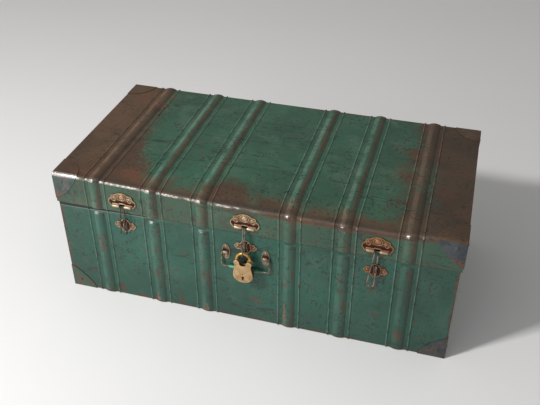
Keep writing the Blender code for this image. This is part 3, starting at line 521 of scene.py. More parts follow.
class WornPaint:
    """Green satin paint on sheet steel, rubbed through, scratched and oxidised."""

    paint_bumps = 0.00014
    ruling_width = 0.0013

    def __init__(self, tones: PaintTones, trunk: Trunk) -> None:
        """Keeps the colours and the trunk's sizes."""
        self.tones, self.trunk = tones, trunk

    def green_coat(self, graph: Graph) -> Any:
        """The paint's own colour, clouded, filmed over and finely mottled."""
        tones = self.tones
        base = graph.mix(graph.noise(7.0, 5.0).ease(0.36, 0.66), tones.deep_green, tones.green)
        film = graph.noise(24.0, 7.0, (1.0, 1.0, 0.55)).ease(0.47, 0.70)
        base = graph.mix(film * 0.6, base, tones.grey_green)
        return graph.mix(graph.noise(120.0, 5.0).ease(0.50, 0.66) * 0.38, base, tones.deep_green)

    def brown_coat(self, graph: Graph) -> Any:
        """The oxidised steel under the paint."""
        tones = self.tones
        base = graph.mix(graph.noise(10.0, 7.0).ease(0.38, 0.62), tones.dark_brown, tones.brown)
        red = graph.noise(13.0, 5.0, (0.6, 1.0, 1.0)).ease(0.52, 0.70)
        base = graph.mix(red * 0.65, base, tones.red_brown)
        return graph.mix(graph.noise(150.0, 5.0).ease(0.46, 0.64) * 0.45, base, tones.dark_brown)

    def hairline(self, graph: Graph, scale: float, stretch: Point, turn: float, width: float) -> Num:
        """Thin wandering lines, drawn where a stretched noise crosses its middle."""
        return abs(graph.noise(scale, 2.0, stretch, turn) - 0.5).ease(width, width * 0.25)

    def marks(self, graph: Graph) -> Num:
        """Dark specks, hairline scratches and short scuffs, from 0 to 1."""
        crowd = graph.noise(15.0, 4.0).ease(0.40, 0.56)
        specks = graph.noise(210.0, 3.0).ease(0.575, 0.645) * crowd
        flecks = graph.noise(95.0, 4.0, (0.5, 1.3, 1.0)).ease(0.64, 0.69) * crowd
        patch_a = graph.noise(19.0, 3.0).ease(0.53, 0.60)
        patch_b = graph.noise(27.0, 3.0, (1.0, 1.0, 1.3)).ease(0.50, 0.57)
        long_lines = self.hairline(graph, 16.0, (0.10, 1.0, 1.0), 0.03, 0.006) * patch_b
        slants = self.hairline(graph, 26.0, (0.22, 1.1, 0.8), 0.9, 0.010) * patch_a
        falls = self.hairline(graph, 30.0, (1.2, 0.30, 0.30), -0.35, 0.010) * patch_b
        # Blotches of grime.
        darkening = graph.noise(88.0, 9.0, roughness=0.80).ease(0.535, 0.63)
        darkening = darkening * graph.noise(9.0, 3.0).ease(0.47, 0.60) * 0.55
        return specks * 0.9 | flecks * 0.8 | long_lines * 0.8 | slants * 0.75 | falls * 0.7 | darkening

    def finish(self, graph: Graph, worn: Num, rust: Num, bare: Any, shade: Num, rubbed: Any = 0.10) -> Look:
        """Lays worn brown, rust, bare steel, marks, a painted sheen and painted shade over the green coat.

        Args:
            graph: the material being made.
            worn: how far the paint has gone, 0 to 1.
            rust: how much orange rust shows, 0 to 1.
            bare: how much bright steel shows, 0 to 1; on the lid's front bend, the walls' domes and the lip
                under the lid's left end it is laid only where the lamp's light catches, a painted highlight.
            shade: how much the paint is darkened, 0 to 1: painted shade and shadow, with darker scratches and
                wear.
            rubbed: how pale the ribs' left flanks are painted, a painted sheen, 0 to 1.

        Returns:
            The finished material.
        """
        tones = self.tones
        rib, lean = graph.mark("rib"), graph.mark("lean")
        # Painted sheen on each rib's left flank and painted shade on its right flank, as the lamp lights the
        # ribs from the left; the paler beads are rubbed paint and painted highlight.
        painted_flank_sheen = rib.ease(0.20, 0.50) * lean.band(-0.95, -0.65, -0.20, -0.02)
        painted_flank_shade = rib.ease(0.04, 0.22) * lean.ease(0.30, 0.65) * 0.28
        rub_and_sheen = graph.mark("bead").ease(0.45, 0.85) * graph.noise(60.0, 5.0).ease(0.34, 0.52) * 0.42
        rub_and_sheen = rub_and_sheen | painted_flank_sheen * graph.noise(34.0, 5.0).ease(0.22, 0.60) * rubbed
        flaked = graph.noise(130.0, 7.0, roughness=0.72).ease(0.560, 0.625)
        flaked = flaked * graph.noise(12.0, 4.0, (1.0, 1.0, 1.3)).ease(0.45, 0.58) * 0.75
        marks = self.marks(graph)
        colour = graph.mix(worn, self.green_coat(graph), self.brown_coat(graph))
        for share, over in (
            (flaked, graph.mix(0.4, tones.red_brown, tones.dark_brown)),
            (rub_and_sheen, graph.mix(worn, tones.pale_green, tones.tan)),
            (painted_flank_shade, tones.black),
            (marks * 0.8, tones.black),
            (rust, tones.orange),
            (shade * 0.8, tones.black),
            (bare, tones.steel),
        ):
            colour = graph.mix(share, colour, over)
        rough = graph.blend(worn, 0.37, 0.44) + graph.noise(40.0, 5.0) * 0.18 + shade * 0.25
        graph.relief(graph.noise(420.0, 3.0) * 0.5 - (marks + worn * 0.5), self.paint_bumps)
        return graph.paint(colour, graph.blend(bare, rough, 0.24), bare * 0.7)

    def rib_wear(self, graph: Graph, scale: float, low: float) -> Num:
        """Wear along the right flank of each rib, broken up by noise."""
        frayed = (graph.noise(150.0, 5.0, roughness=0.7) - 0.5) * 1.5
        flank = (graph.mark("lean") + frayed).ease(0.05, 0.40)
        crest = (graph.mark("rib") + frayed * 0.6).ease(0.30, 0.62)
        grain = (graph.noise(210.0, 6.0, roughness=0.72) - 0.5) * 1.1
        broken = (graph.noise(scale, 6.0, (2.0, 0.8, 0.8)) + grain).ease(low, low + 0.16)
        return flank * crest * broken

    def rulings(self, graph: Graph, y: Num) -> Num:
        """Long scratches across the lid's top where a box was dragged along it."""
        sway = (graph.noise(5.0, 3.0) - 0.5) * 0.012
        kept = graph.noise(21.0, 5.0, (0.6, 1.0, 1.0), roughness=0.6).ease(0.40, 0.50)
        reach = graph.x.band(-0.27, -0.20, 0.19, 0.26) * kept
        wide, thin = self.ruling_width, 0.0004
        return reduce(or_, (abs(y - at + sway).ease(wide, thin) * reach * share for at, share in LID_RULINGS))

    def smudges(self, graph: Graph, *spots: Spot) -> Num:
        """Ragged patches on the front, each given by X, Z and its reach along both."""
        ragged = (graph.noise(210.0, 6.0, roughness=0.66) - 0.46) * 6.5
        patches = []
        for place_x, place_z, reach_x, reach_z in spots:
            across, up = (graph.x - place_x) * (1.0 / reach_x), (graph.z - place_z) * (1.0 / reach_z)
            patches.append((across * across + up * up + ragged).ease(1.2, 0.3))
        return reduce(or_, patches) * graph.y.ease(-0.15, -0.17)

    def lid_brown(self, graph: Graph, y: Num, pitted: Num, fine: Num) -> Num:
        """Where the lid's top has gone brown: both ends, a strip at the front and the back edge.

        Args:
            graph: the material being made.
            y: the place behind the trunk's middle.
            pitted: coarse and fine noise that frays the ends' borders.
            fine: a finer noise round 0.

        Returns:
            How brown the top is, 0 to 1.
        """
        x, top = graph.x, self.trunk.lid_top
        ragged = graph.noise(11.0, 8.0, roughness=0.66) - 0.5
        wander = ragged * 0.20 + fine * 0.10
        left_line = y.ease(0.03, -0.19) * 0.075 - 0.288
        left = (pitted + x.ease(left_line + 0.085, left_line - 0.040) * 0.46).ease(0.70, 0.86)
        clear = abs(x - 0.312).ease(0.034, 0.012) * abs(y + 0.045).ease(0.14, 0.06)
        right_way = (x + ragged * 0.16).ease(0.165, 0.365) * 0.52 - clear * 0.16
        right = (pitted + right_way).ease(0.61, 0.84)
        far_edge = (x + wander * 0.4).ease(0.335, 0.362)
        bulge = abs(x + 0.045).ease(0.050, 0.015)
        strip = (y + (wander * 0.55 - bulge * 0.030)).ease(-0.138, -0.190)
        back = (y + wander * 0.25).ease(0.182, 0.190) * graph.z.ease(top - 0.016, top - 0.006)
        return left | right | far_edge | strip | back

    def lid(self) -> Look:
        """The lid's sheet: brown ends, brown front strip, rubbed ribs, painted shade and a painted highlight
        of bright steel along the front bend.
        """
        graph = Graph("worn_lid")
        x, z, edge_z = graph.x, graph.z, self.trunk.lid_edge
        y = graph.y - self.trunk.centre_y
        fine = graph.noise(55.0, 6.0, roughness=0.65) - 0.5
        grain = graph.noise(210.0, 5.0, roughness=0.66)
        pitted = graph.noise(34.0, 9.0, roughness=0.72) * 0.50 + grain * 0.50
        nose, rib, lean = graph.mark("nose"), graph.mark("rib"), graph.mark("lean")
        on_top = nose.ease(-0.004, -0.001)
        on_front = on_top.ease(1.0, 0.0)
        top = self.lid_brown(graph, y, pitted, fine) * on_top
        last_rib = x.ease(0.262, 0.270) * rib.ease(0.1, 0.4) * pitted.ease(0.38, 0.50) * on_top
        right_half = x.ease(0.0, 0.15)
        scuffs = graph.noise(30.0, 6.0, (1.0, 1.0, 1.8)).ease(0.57, 0.66)
        scuffs = scuffs * graph.blend(right_half, 0.50, 0.32)
        haze = graph.noise(48.0, 7.0, roughness=0.66).ease(0.38, 0.60) * graph.blend(right_half, 0.32, 0.12)
        edge = z.ease(edge_z + 0.0035, edge_z + 0.0015) * fine.ease(-0.10, 0.06)
        bend = nose.band(-0.014, -0.005, -0.0020, 0.0006) * x.ease(0.0, 0.05)
        worn = top | self.rib_wear(graph, 20.0, 0.27) * 0.9 | last_rib * 0.9 | edge * 0.6 | bend
        worn = worn | (scuffs | haze) * on_front | self.smudges(graph, LID_PATCH) * 0.8
        # Painted highlight: bright steel along the lower front bend, laid only where the lamp's glint falls:
        # over the left half, on the ribs' left flanks and on the beads.
        line = nose.band(-0.0045, -0.0034, -0.0012, 0.0006)
        flakes = graph.noise(230.0, 4.0, (0.7, 1.0, 1.0)).ease(0.40, 0.56)
        rubbed = graph.noise(75.0, 6.0, (0.6, 1.0, 1.0)).ease(0.38, 0.50) * graph.blend(flakes, 0.38, 1.0)
        west = graph.blend(x.ease(-0.020, -0.005), 1.0, x.ease(0.045, 0.010))
        west = west * graph.blend(x.ease(-0.03, 0.0), 1.0, 0.2)
        # The side of each rib turned away from the lamp: no painted highlight there, and a painted shadow on
        # the bend.
        shaded = rib.ease(0.10, 0.35) * lean.ease(-0.20, 0.05)
        spots = rib.ease(0.20, 0.55) * lean.band(-0.78, -0.55, -0.32, -0.16)
        spots = spots * graph.noise(330.0, 3.0).ease(0.40, 0.54)
        beads = graph.mark("bead").ease(0.4, 0.8) * lean.ease(0.0, 0.5) * 0.5
        bare = line * (west * rubbed * shaded.ease(1.0, 0.0) | spots * 0.9 | beads)
        specks = graph.noise(160.0, 3.0).ease(0.72, 0.76) * rib.ease(0.5, 0.8) * 0.5
        # Darker paint along the upper front bend and just behind it, partly a painted shadow line under the
        # brown strip.
        dark_bend_line = nose.band(-0.0012, 0.0015, 0.005, 0.017)
        east = x.ease(0.20, 0.36) * on_top * 0.50
        ruled = self.rulings(graph, y) * on_top * 0.62
        # Painted shade: the lid's front darker towards the right, away from the lamp.
        painted_falloff = on_front * x.ease(-0.05, 0.30) * 0.24
        shade = dark_bend_line * 0.42 | line * shaded * 0.7 | bend * 0.5 | ruled | east | painted_falloff
        rust = bend * fine.ease(-0.12, 0.08) * 0.30
        # The last value is the painted sheen on the ribs' left flanks, stronger on the top than on the front.
        return self.finish(graph, worn, rust, bare | specks, shade, graph.blend(on_top, 0.10, 0.27))

    def walls(self) -> Look:
        """The body's sheet: specked green, rubbed ribs and rust at the foot and the ends, with painted shade
        and painted highlights.
        """
        graph = Graph("worn_walls")
        x, z, dome, edge_z = graph.x, graph.z, self.trunk.dome_top, self.trunk.lid_edge
        rib, lean = graph.mark("rib"), graph.mark("lean")
        foot = (z + graph.noise(45.0, 5.0) * 0.022).ease(0.019, 0.011)
        edge = (abs(x) + graph.noise(55.0, 5.0) * 0.014).ease(0.377, 0.384)
        spots = graph.noise(32.0, 6.0).ease(0.645, 0.69)
        stains = self.smudges(graph, *WALL_STAINS)
        worn = self.rib_wear(graph, 22.0, 0.49) | spots * 0.8 | foot | edge | stains
        rust = self.smudges(graph, *WALL_RUST) * graph.noise(90.0, 5.0).ease(0.40, 0.54) * 0.8
        # Painted highlight: bright steel on the left flank of each rib's dome on the left half, where the
        # lamp's glint falls.
        glint = z.band(dome - 0.0062, dome - 0.0042, dome - 0.0016, dome) * rib.ease(0.10, 0.30)
        glint = glint * lean.band(-0.70, -0.45, -0.15, 0.05) * x.ease(0.0, -0.12)
        glint = glint * graph.noise(190.0, 3.0).ease(0.40, 0.52)
        # Painted shadow on the right side of each rib's dome, away from the lamp.
        painted_dome_shadow = z.ease(dome - 0.012, dome - 0.005) * rib.ease(0.05, 0.25) * lean.ease(0.05, 0.30)
        below_rim = z.ease(edge_z + 0.0030, edge_z + 0.0010)
        # Painted shadow on the wall just under the lid's edge.
        darkening = z.ease(edge_z - 0.0030, edge_z - 0.0005) * below_rim
        # Painted shadow of a gap under the lid's left end, as if the lid stood lifted there, and a painted
        # highlight on the lip just below it.
        shadow_reach = x.ease(-0.19, -0.37) * 0.0045 + 0.0030
        past = (z - edge_z) * -1.0 - shadow_reach
        painted_gap_shadow = x.ease(-0.16, -0.21) * past.ease(0.0005, -0.0005) * below_rim
        painted_lip_highlight = x.ease(-0.10, -0.22) * past.band(-0.0002, 0.0006, 0.0012, 0.0022)
        # Painted shade: the walls darker towards the right, away from the lamp; they also darken towards the
        # foot.
        painted_falloff = x.ease(-0.10, 0.42) * 0.30 + z.ease(0.11, 0.0) * 0.14
        # Painted shade under the lid's edge, to the right, in the gap at the left, beside the domes and
        # behind the padlock, and darker towards the foot.
        shade = darkening | painted_falloff | painted_gap_shadow * 1.2 | painted_dome_shadow * 0.5 | self.smudges(graph, WALL_PADLOCK_SHADOW) * 1.15
        return self.finish(graph, worn, rust, glint * 0.9 | painted_lip_highlight * 0.25, shade)

    def ends(self, name: str, outer: float, low: float, high: float) -> Look:
        """A flat end panel: green outside, rubbed along its edges, bare and darkened inside.

        Args:
            name: the material's name.
            outer: how far from the middle the panel's outer face lies.
            low: the height of its lower edge.
            high: the height of its upper edge.

        Returns:
            The panel's material.
        """
        graph = Graph(name)
        ragged = graph.noise(40.0, 7.0, roughness=0.66) * 0.040
        side = (abs(graph.y - self.trunk.centre_y) + ragged).ease(0.190, 0.212)
        foot = (graph.z - ragged).ease(low + 0.002, low - 0.016)
        brow = (graph.z + ragged).ease(high + 0.002, high + 0.018)
        spots = graph.noise(26.0, 7.0, roughness=0.62).ease(0.60, 0.68)
        inside = abs(graph.x).ease(outer - 0.0003, outer - 0.0005)
        worn = side | foot | brow | spots * 0.85 | inside * 0.55
        rust = graph.noise(60.0, 5.0).ease(0.60, 0.68) * foot * 0.6
        return self.finish(graph, worn, rust, 0.0, inside * 0.25)


class CapFinish(WornPaint):
    """Corner caps: brown on top like the lid, blued or painted over on the front, rusty at the tips."""

    cap_bumps = 0.00012

    def make(self) -> Look:
        """Builds one material for all eight caps, by place."""
        graph = Graph("cap_sheet")
        tones, z, top, edge = self.tones, graph.z, self.trunk.lid_top, self.trunk.lid_edge
        slate = graph.mix(graph.noise(38.0, 6.0).ease(0.38, 0.62), tone("33373d"), tone("43474b"))
        brown, green, marks = self.brown_coat(graph), self.green_coat(graph), self.marks(graph)
        west = graph.x.ease(0.1, -0.1)
        mottle = graph.noise(60.0, 6.0, roughness=0.62).ease(0.40, 0.60)
        film = graph.mix(mottle, graph.mix(0.35, green, slate), graph.mix(0.45, tone("67625f"), slate))
        tip = (z + mottle * 0.012).ease(edge + 0.036, edge + 0.018) * z.ease(0.10, 0.15)
        rusty = graph.noise(70.0, 6.0, roughness=0.6).ease(0.47, 0.56)
        painted = graph.mix(rusty * 0.75, green, graph.mix(0.5, brown, tones.red_brown))
        foot = graph.mix(west * 0.85, graph.mix(rusty * 0.6, slate, brown), painted)
        # Painted highlight: bright steel along the front bend of the front left lid cap, where the lamp's
        # glint falls, going on from the lid's.
        bend = z.band(top - 0.0065, top - 0.0035, top + 0.0004, top + 0.0012)
        bend = bend * west * graph.y.ease(-0.178, -0.181)
        colour = slate
        for share, over in (
            (west * 0.85, film),
            (tip * 0.7, tones.red_brown),
            (z.ease(top - 0.0055, top - 0.0015), brown),
            (z.ease(0.12, 0.10), foot),
            (graph.y.ease(0.05, 0.10) * 0.7, brown),
            (marks * 0.6, tones.black),
            (bend * 0.8, tones.steel),
        ):
            colour = graph.mix(share, colour, over)
        rough = graph.blend(bend, graph.blend(mottle, 0.36, 0.50), 0.26)
        graph.relief(graph.noise(300.0, 4.0) * 0.6 - marks, self.cap_bumps)
        return graph.paint(colour, rough, bend * 0.5 + 0.15)


@dataclass(frozen=True)
class MetalLook:
    """An old metal with a second tone in its hollows or stains."""

    light: str
    dark: str
    metal: float
    rough: float
    stain_scale: float
    grain: float = 0.00006

    def make(self, name: str) -> Look:
        """Builds a clouded metal with fine grain."""
        graph = Graph(name)
        light, dark, scale = tone(self.light), tone(self.dark), self.stain_scale
        stain = graph.noise(scale, 6.0).ease(0.38, 0.66)
        speck = graph.noise(scale * 9.0, 3.0).ease(0.60, 0.70)
        colour = graph.mix(speck * 0.5, graph.mix(stain, light, dark), dark)
        graph.relief(graph.noise(scale * 14.0, 3.0) + stain, self.grain)
        return graph.paint(colour, stain * 0.18 + self.rough, self.metal)


METALS = {
    "dark_wire": MetalLook("8b8075", "39302a", 0.6, 0.36, 90.0),
    "old_brass": MetalLook("b48a5c", "5e3a26", 0.55, 0.38, 70.0),
    "padlock_brass": MetalLook("b4956a", "97774c", 0.18, 0.44, 90.0),
    "grip_paint": MetalLook("43946b", "265f44", 0.0, 0.32, 80.0),
    "hinge_steel": MetalLook("68625a", "43342a", 0.6, 0.42, 60.0),
    "inner_sheet": MetalLook("4f594b", "464a41", 0.1, 0.55, 24.0),
    # A darker copy of the link wire: painted shade on the left link, which hangs in shadow.
    "dull_wire": MetalLook("5a554c", "27221e", 0.4, 0.52, 90.0),
    "bail_wire": MetalLook("857a65", "4c4136", 0.6, 0.38, 110.0),
    "padlock_rim": MetalLook("c9ac7e", "a68455", 0.35, 0.36, 80.0),
    # Painted shade: the darker side brass on the case's sides and on the pin, and the near-black material in
    # the keyhole and the notch.
    "padlock_side": MetalLook("6d4f2c", "46311b", 0.5, 0.42, 80.0),
    "shackle_brass": MetalLook("dcae62", "a8772f", 0.7, 0.30, 70.0),
    "keyhole_dark": MetalLook("15120f", "0b0a09", 0.0, 0.8, 90.0),
}


@dataclass(frozen=True)
class OldPlate:
    """Stamped brass: bright where it stands proud and is rubbed, brown in the hollows."""

    light: str
    dark: str
    red: str
    cream: str
    hollow: float = 0.0012
    ridge: float = 0.0021
    grain: float = 0.00008

    def make(self, name: str) -> Look:
        """Builds brass that follows the stored height of each point."""
        graph = Graph(name)
        dark, red = tone(self.dark), tone(self.red)
        stain = graph.noise(150.0, 5.0)
        rubbed = (graph.mark("proud") + (stain - 0.5) * 0.0009).ease(self.hollow, self.ridge)
        east = graph.x.ease(0.10, 0.20)
        light = graph.mix(graph.noise(95.0, 4.0).ease(0.44, 0.60) * 0.42, tone(self.light), red)
        light = graph.mix(east * 0.66, light, red)
        field = graph.mix(graph.mark("deep"), graph.mix(0.52, light, dark), dark)
        bare = graph.mark("bare") * stain.ease(0.30, 0.46) * graph.blend(east, 1.0, 0.55)
        colour = graph.mix(bare, graph.mix(rubbed, field, light), tone(self.cream))
        graph.relief(graph.noise(700.0, 4.0), self.grain)
        return graph.paint(colour, graph.blend(rubbed, 0.55, 0.36), graph.blend(rubbed, 0.55, 0.45))


PLATE_BRASS = OldPlate("b29878", "3a180c", "8a5432", "b8a184")
BRACKET_BRASS = OldPlate("988974", "331509", "6e4630", "a39078", 0.0010, 0.0022)


# Sheet metal


def steps_between(start: Flat, end: Flat, count: int) -> list[Flat]:
    """Evenly spaced points after start, up to and with end."""
    (x, z), (end_x, end_z) = start, end
    return [(x + (end_x - x) * n / count, z + (end_z - z) * n / count) for n in range(1, count + 1)]


def arc(centre: Flat, radius: float, start: float, end: float, steps: int) -> list[Flat]:
    """Points on an arc, both ends included, angles in degrees."""
    angles = [math.radians(start + (end - start) * n / steps) for n in range(steps + 1)]
    return [(centre[0] + radius * math.cos(a), centre[1] + radius * math.sin(a)) for a in angles]


def oval(half_width: float, half_height: float, count: int) -> list[Flat]:
    """Points round an oval."""
    turns = [math.tau * n / count for n in range(count)]
    return [(half_width * math.cos(turn), half_height * math.sin(turn)) for turn in turns]


@dataclass
class RibbedSheet:
    """A pressed sheet: a cross-section drawn along the trunk, with ribs and beads raised from it."""

    trunk: Trunk
    name: str
    half_length: float
    section: list[Flat]
    share: Callable[[float], float]
    bead_share: Callable[[float], float]
    outward: Point
    coats: tuple[Look, Look]
    flat_step: float = 0.016
    rib_steps: int = 14
    bead_steps: int = 6
    crease: float = 0.0006
    roundness: float = 0.8

    def stations(self) -> list[float]:
        """The X of each column of points, close together where the sheet bends."""
        trunk = self.trunk
        found = {-self.half_length, self.half_length}
        for rib in trunk.ribs:
            for step in range(self.rib_steps + 1):
                found.add(rib - trunk.rib_half * math.cos(math.pi * step / self.rib_steps))
            for side in (-1, 1):
                bead = rib + side * trunk.bead_at
                beside = trunk.bead_half + self.crease
                found |= {rib + side * (trunk.rib_half + self.crease), bead - beside, bead + beside}
                for step in range(self.bead_steps + 1):
                    found.add(bead + trunk.bead_half * (2.0 * step / self.bead_steps - 1.0))
        line = sorted(found)
        for before, after in zip(line[:], line[1:]):
            count = int((after - before) / self.flat_step)
            line += [before + (after - before) * (n + 1) / (count + 1) for n in range(count)]
        return sorted(line)

    def near_rib(self, x: float) -> float:
        """The signed distance to the nearest rib's crest."""
        return min((x - rib for rib in self.trunk.ribs), key=abs)

    def rib(self, place: Vector) -> float:
        """The rib's own height at a place, 1 on the crest."""
        across = self.near_rib(place.x) / self.trunk.rib_half
        return max(0.0, 1.0 - across * across) ** self.roundness * self.share(place.z)

    def bead(self, place: Vector) -> float:
        """The narrow bead's own height at a place, 1 on its top."""
        across = (abs(self.near_rib(place.x)) - self.trunk.bead_at) / self.trunk.bead_half
        height = 0.5 + 0.5 * math.cos(math.pi * across) if abs(across) < 1.0 else 0.0
        return height * self.bead_share(place.z)

    def draw(self) -> Piece:
        """Draws the flat section along X as an open sheet without ribs."""
        (first_y, first_z), *rest = self.section
        line = self.stations()
        middle = first_y + self.half_length
        bpy.ops.mesh.primitive_grid_add(
            x_subdivisions=len(line) - 1,
            y_subdivisions=1,
            size=2.0 * self.half_length,
            location=(0.0, middle, first_z),
        )
        piece = put(added(self.name))
        with editing(piece):
            pick(piece, "VERT", lambda v: v.co.y > middle)
            bpy.ops.mesh.delete(type="VERT")
            mesh = bmesh.from_edit_mesh(piece.data)
            for vertex, x in zip(sorted(mesh.verts, key=lambda v: v.co.x), line):
                vertex.co.x = x
            bmesh.update_edit_mesh(piece.data)
            bpy.ops.mesh.select_mode(type="EDGE")
            bpy.ops.mesh.select_all(action="SELECT")
            for (y, z), (next_y, next_z) in zip(self.section, rest):
                step = (0.0, next_y - y, next_z - z)
                bpy.ops.mesh.extrude_edges_move(TRANSFORM_OT_translate={"value": step})
        outward = Vector(self.outward)
        if sum((polygon.normal.dot(outward) for polygon in piece.data.polygons), 0.0) < 0.0:
            piece.data.flip_normals()
        return piece

    def build(self) -> Piece:
        """Makes the sheet with its ribs, its thickness and its outer and inner coats."""
        trunk = self.trunk
        piece = self.draw()
        noted([piece], rib=self.rib, bead=self.bead, lean=lambda co: self.near_rib(co.x) / trunk.rib_half)
        low = trunk.bead_rise / trunk.rib_rise
        pushed(piece, lambda co: max(self.rib(co), self.bead(co) * low), strength=trunk.rib_rise)
        coated(piece, *self.coats)
        applied(
            piece, "SOLIDIFY", thickness=trunk.sheet, offset=-1.0, use_even_offset=True, material_offset=1
        )
        return softened(piece, 50.0)


@dataclass
class Shell:
    """The lid's wrapper and the body's ribbed walls."""

    trunk: Trunk
    lid_paint: Look
    wall_paint: Look
    inner: Look
    bend_steps: int = 10
    front_rows: int = 10
    back_rows: int = 5
    wall_rows: int = 12
    top_rows: int = 36
    dome_rows: int = 8
    bead_stop: float = 0.004
    bead_fade: float = 0.002
    bow: float = 0.0070
    bow_reach: float = 0.045
    bow_start: float = 0.004
    bow_foot: float = 0.022
    bow_left: Flat = (-0.335, -0.02)
    bow_right: Flat = (0.335, 0.265)

    def nose(self, place: Vector) -> float:
        """How far a point of the lid lies behind the middle of the front bend, measured round the section."""
        trunk = self.trunk
        turn = math.pi / 4 * trunk.bend
        start = trunk.front + trunk.bend
        if place.z < trunk.shoulder:
            return place.z - trunk.shoulder - turn if place.y < trunk.centre_y else -1.0
        if place.y > start:
            return turn + place.y - start
        return trunk.bend * math.atan2(place.z - trunk.shoulder, start - place.y) - turn

    def sag(self, place: Vector) -> float:
        """How much of the sag a point of the lid takes: most at the front bend between the corners."""
        trunk = self.trunk
        along = smooth(place.x, *self.bow_left) * smooth(place.x, *self.bow_right)
        back = smooth(place.y, trunk.front + self.bow_reach, trunk.front + self.bow_start)
        return along * back * smooth(place.z, trunk.lid_edge + self.bow_foot, trunk.shoulder)

    def lid_section(self) -> list[Flat]:
        """The lid's cross-section from the front edge over the top to the back edge."""
        trunk, bend = self.trunk, self.trunk.bend
        flat = trunk.half_depth - bend
        section = [(trunk.front, trunk.lid_edge)]
        section += steps_between(section[-1], (trunk.front, trunk.shoulder), self.front_rows)
        section += arc((trunk.centre_y - flat, trunk.shoulder), bend, 180, 90, self.bend_steps)[1:]
        section += steps_between(section[-1], (trunk.centre_y + flat, trunk.lid_top), self.top_rows)
        section += arc((trunk.centre_y + flat, trunk.shoulder), bend, 90, 0, self.bend_steps)[1:]
        section += steps_between(section[-1], (trunk.back, trunk.lid_edge), self.back_rows)
        return section

    def dome(self, z: float) -> float:
        """How much of a wall's rib stands at a height: it ends in a dome below the lid."""
        past = max(0.0, z - self.trunk.dome_start) / self.trunk.dome_length
        return math.sqrt(max(0.0, 1.0 - past**2))

    def under_lid(self, z: float) -> float:
        """How much of a wall's beads stands at a height: they stop just under the lid's edge."""
        return 1.0 if z < self.trunk.lid_edge - self.bead_stop else 0.0

    def wall_section(self, side: Side) -> list[Flat]:
        """A wall's line from its foot to its rim."""
        trunk = self.trunk
        y = trunk.centre_y + side.value * (trunk.half_depth - trunk.set_in_front)
        stop = trunk.lid_edge - self.bead_stop
        turns = [math.pi / 2 * n / self.dome_rows for n in range(1, self.dome_rows + 1)]
        section = [(y, trunk.foot)]
        section += steps_between(section[-1], (y, trunk.dome_start), self.wall_rows)
        section += [(y, trunk.dome_start + trunk.dome_length * math.sin(turn)) for turn in turns]
        return section + [(y, stop - self.bead_fade), (y, stop), (y, trunk.rim_top)]

    def build(self) -> None:
        """Builds and dresses the three ribbed sheets."""
        trunk = self.trunk
        full, coats = (lambda z: 1.0), (self.lid_paint, self.inner)
        lid = RibbedSheet(
            trunk, "lid_shell", trunk.half_length, self.lid_section(), full, full, (0.0, 0.0, 1.0), coats
        ).build()
        noted([lid], nose=self.nose)
        pushed(lid, self.sag, strength=-self.bow, direction="Z")
        hung(lid, Body.LID, Slot.LID_PAINT, "lid_wrapper")
        length, coats = trunk.half_length - trunk.set_in_end, (self.wall_paint, self.inner)
        for side in Side:
            word, section, outward = side.name.lower(), self.wall_section(side), (0.0, side.value, 0.0)
            wall = RibbedSheet(
                trunk, f"{word}_wall", length, section, self.dome, self.under_lid, outward, coats
            ).build()
            hung(wall, Body.BOX, Slot.PAINT, f"body_{word}")


# Hardware


def outline_plate(name: str, outline: Sequence[Flat], back: float, thick: float) -> Piece:
    """A plate that faces the front: a filled circle moved onto an outline, then drawn out.

    Args:
        name: the piece's name.
        outline: the X and Z of each corner, in turn.
        back: the Y of the plate's back.
        thick: how far it stands out along -Y.

    Returns:
        A closed plate.
    """
    bpy.ops.mesh.primitive_circle_add(vertices=len(outline), radius=1.0, fill_type="NGON")
    piece = added(name)
    for vertex, (x, z) in zip(piece.data.vertices, outline):
        vertex.co = (x, back, z)
    with editing(piece):
        bpy.ops.mesh.extrude_region_move(TRANSFORM_OT_translate={"value": (0.0, -thick, 0.0)})
        bpy.ops.mesh.select_all(action="SELECT")
        bpy.ops.mesh.normals_make_consistent(inside=False)
    return piece


def hollowed(piece: Piece, rim: float, slope: float, depth: float) -> Piece:
    """Sinks a plate's front face within a rim.

    Args:
        piece: a plate that faces the front.
        rim: the rim's width.
        slope: how far the side of the hollow runs in.
        depth: how deep the hollow is.

    Returns:
        The same piece.
    """
    front = min(vertex.co.y for vertex in piece.data.vertices)
    with editing(piece):
        pick(piece, "FACE", lambda face: all(v.co.y < front + TINY for v in face.verts))
        bpy.ops.mesh.inset(thickness=rim, use_even_offset=True)
        bpy.ops.mesh.inset(thickness=slope, use_even_offset=True)
        bpy.ops.transform.translate(value=(0.0, depth, 0.0))
    return piece


def scored(piece: Piece, along: Point, *places: float) -> Piece:
    """Cuts rings of edges into a piece, so that its shape or stored numbers can change there.

    Args:
        piece: the piece to cut.
        along: the direction across the cuts.
        places: how far along it each cut lies.

    Returns:
        The same piece.
    """
    with editing(piece):
        for place in places:
            bpy.ops.mesh.select_all(action="SELECT")
            bpy.ops.mesh.bisect(plane_co=tuple(place * part for part in along), plane_no=along)
    return piece


def ball(name: str, centre: Point, radii: Point, sides: int = 24, rings: int = 12) -> Piece:
    """A ball squeezed to three radii."""
    bpy.ops.mesh.primitive_uv_sphere_add(segments=sides, ring_count=rings, radius=1.0, location=centre)
    piece = added(name)
    piece.scale = radii
    return put(piece)


def drum(name: str, radius: float, start: Point, end: Point, sides: int = 32) -> Piece:
    """A round bar from one point to another."""
    line = Vector(end) - Vector(start)
    middle = (Vector(start) + Vector(end)) / 2
    bpy.ops.mesh.primitive_cylinder_add(vertices=sides, radius=radius, depth=line.length, location=middle)
    piece = added(name)
    piece.rotation_euler = line.to_track_quat("Z", "Y").to_euler()
    return put(piece)


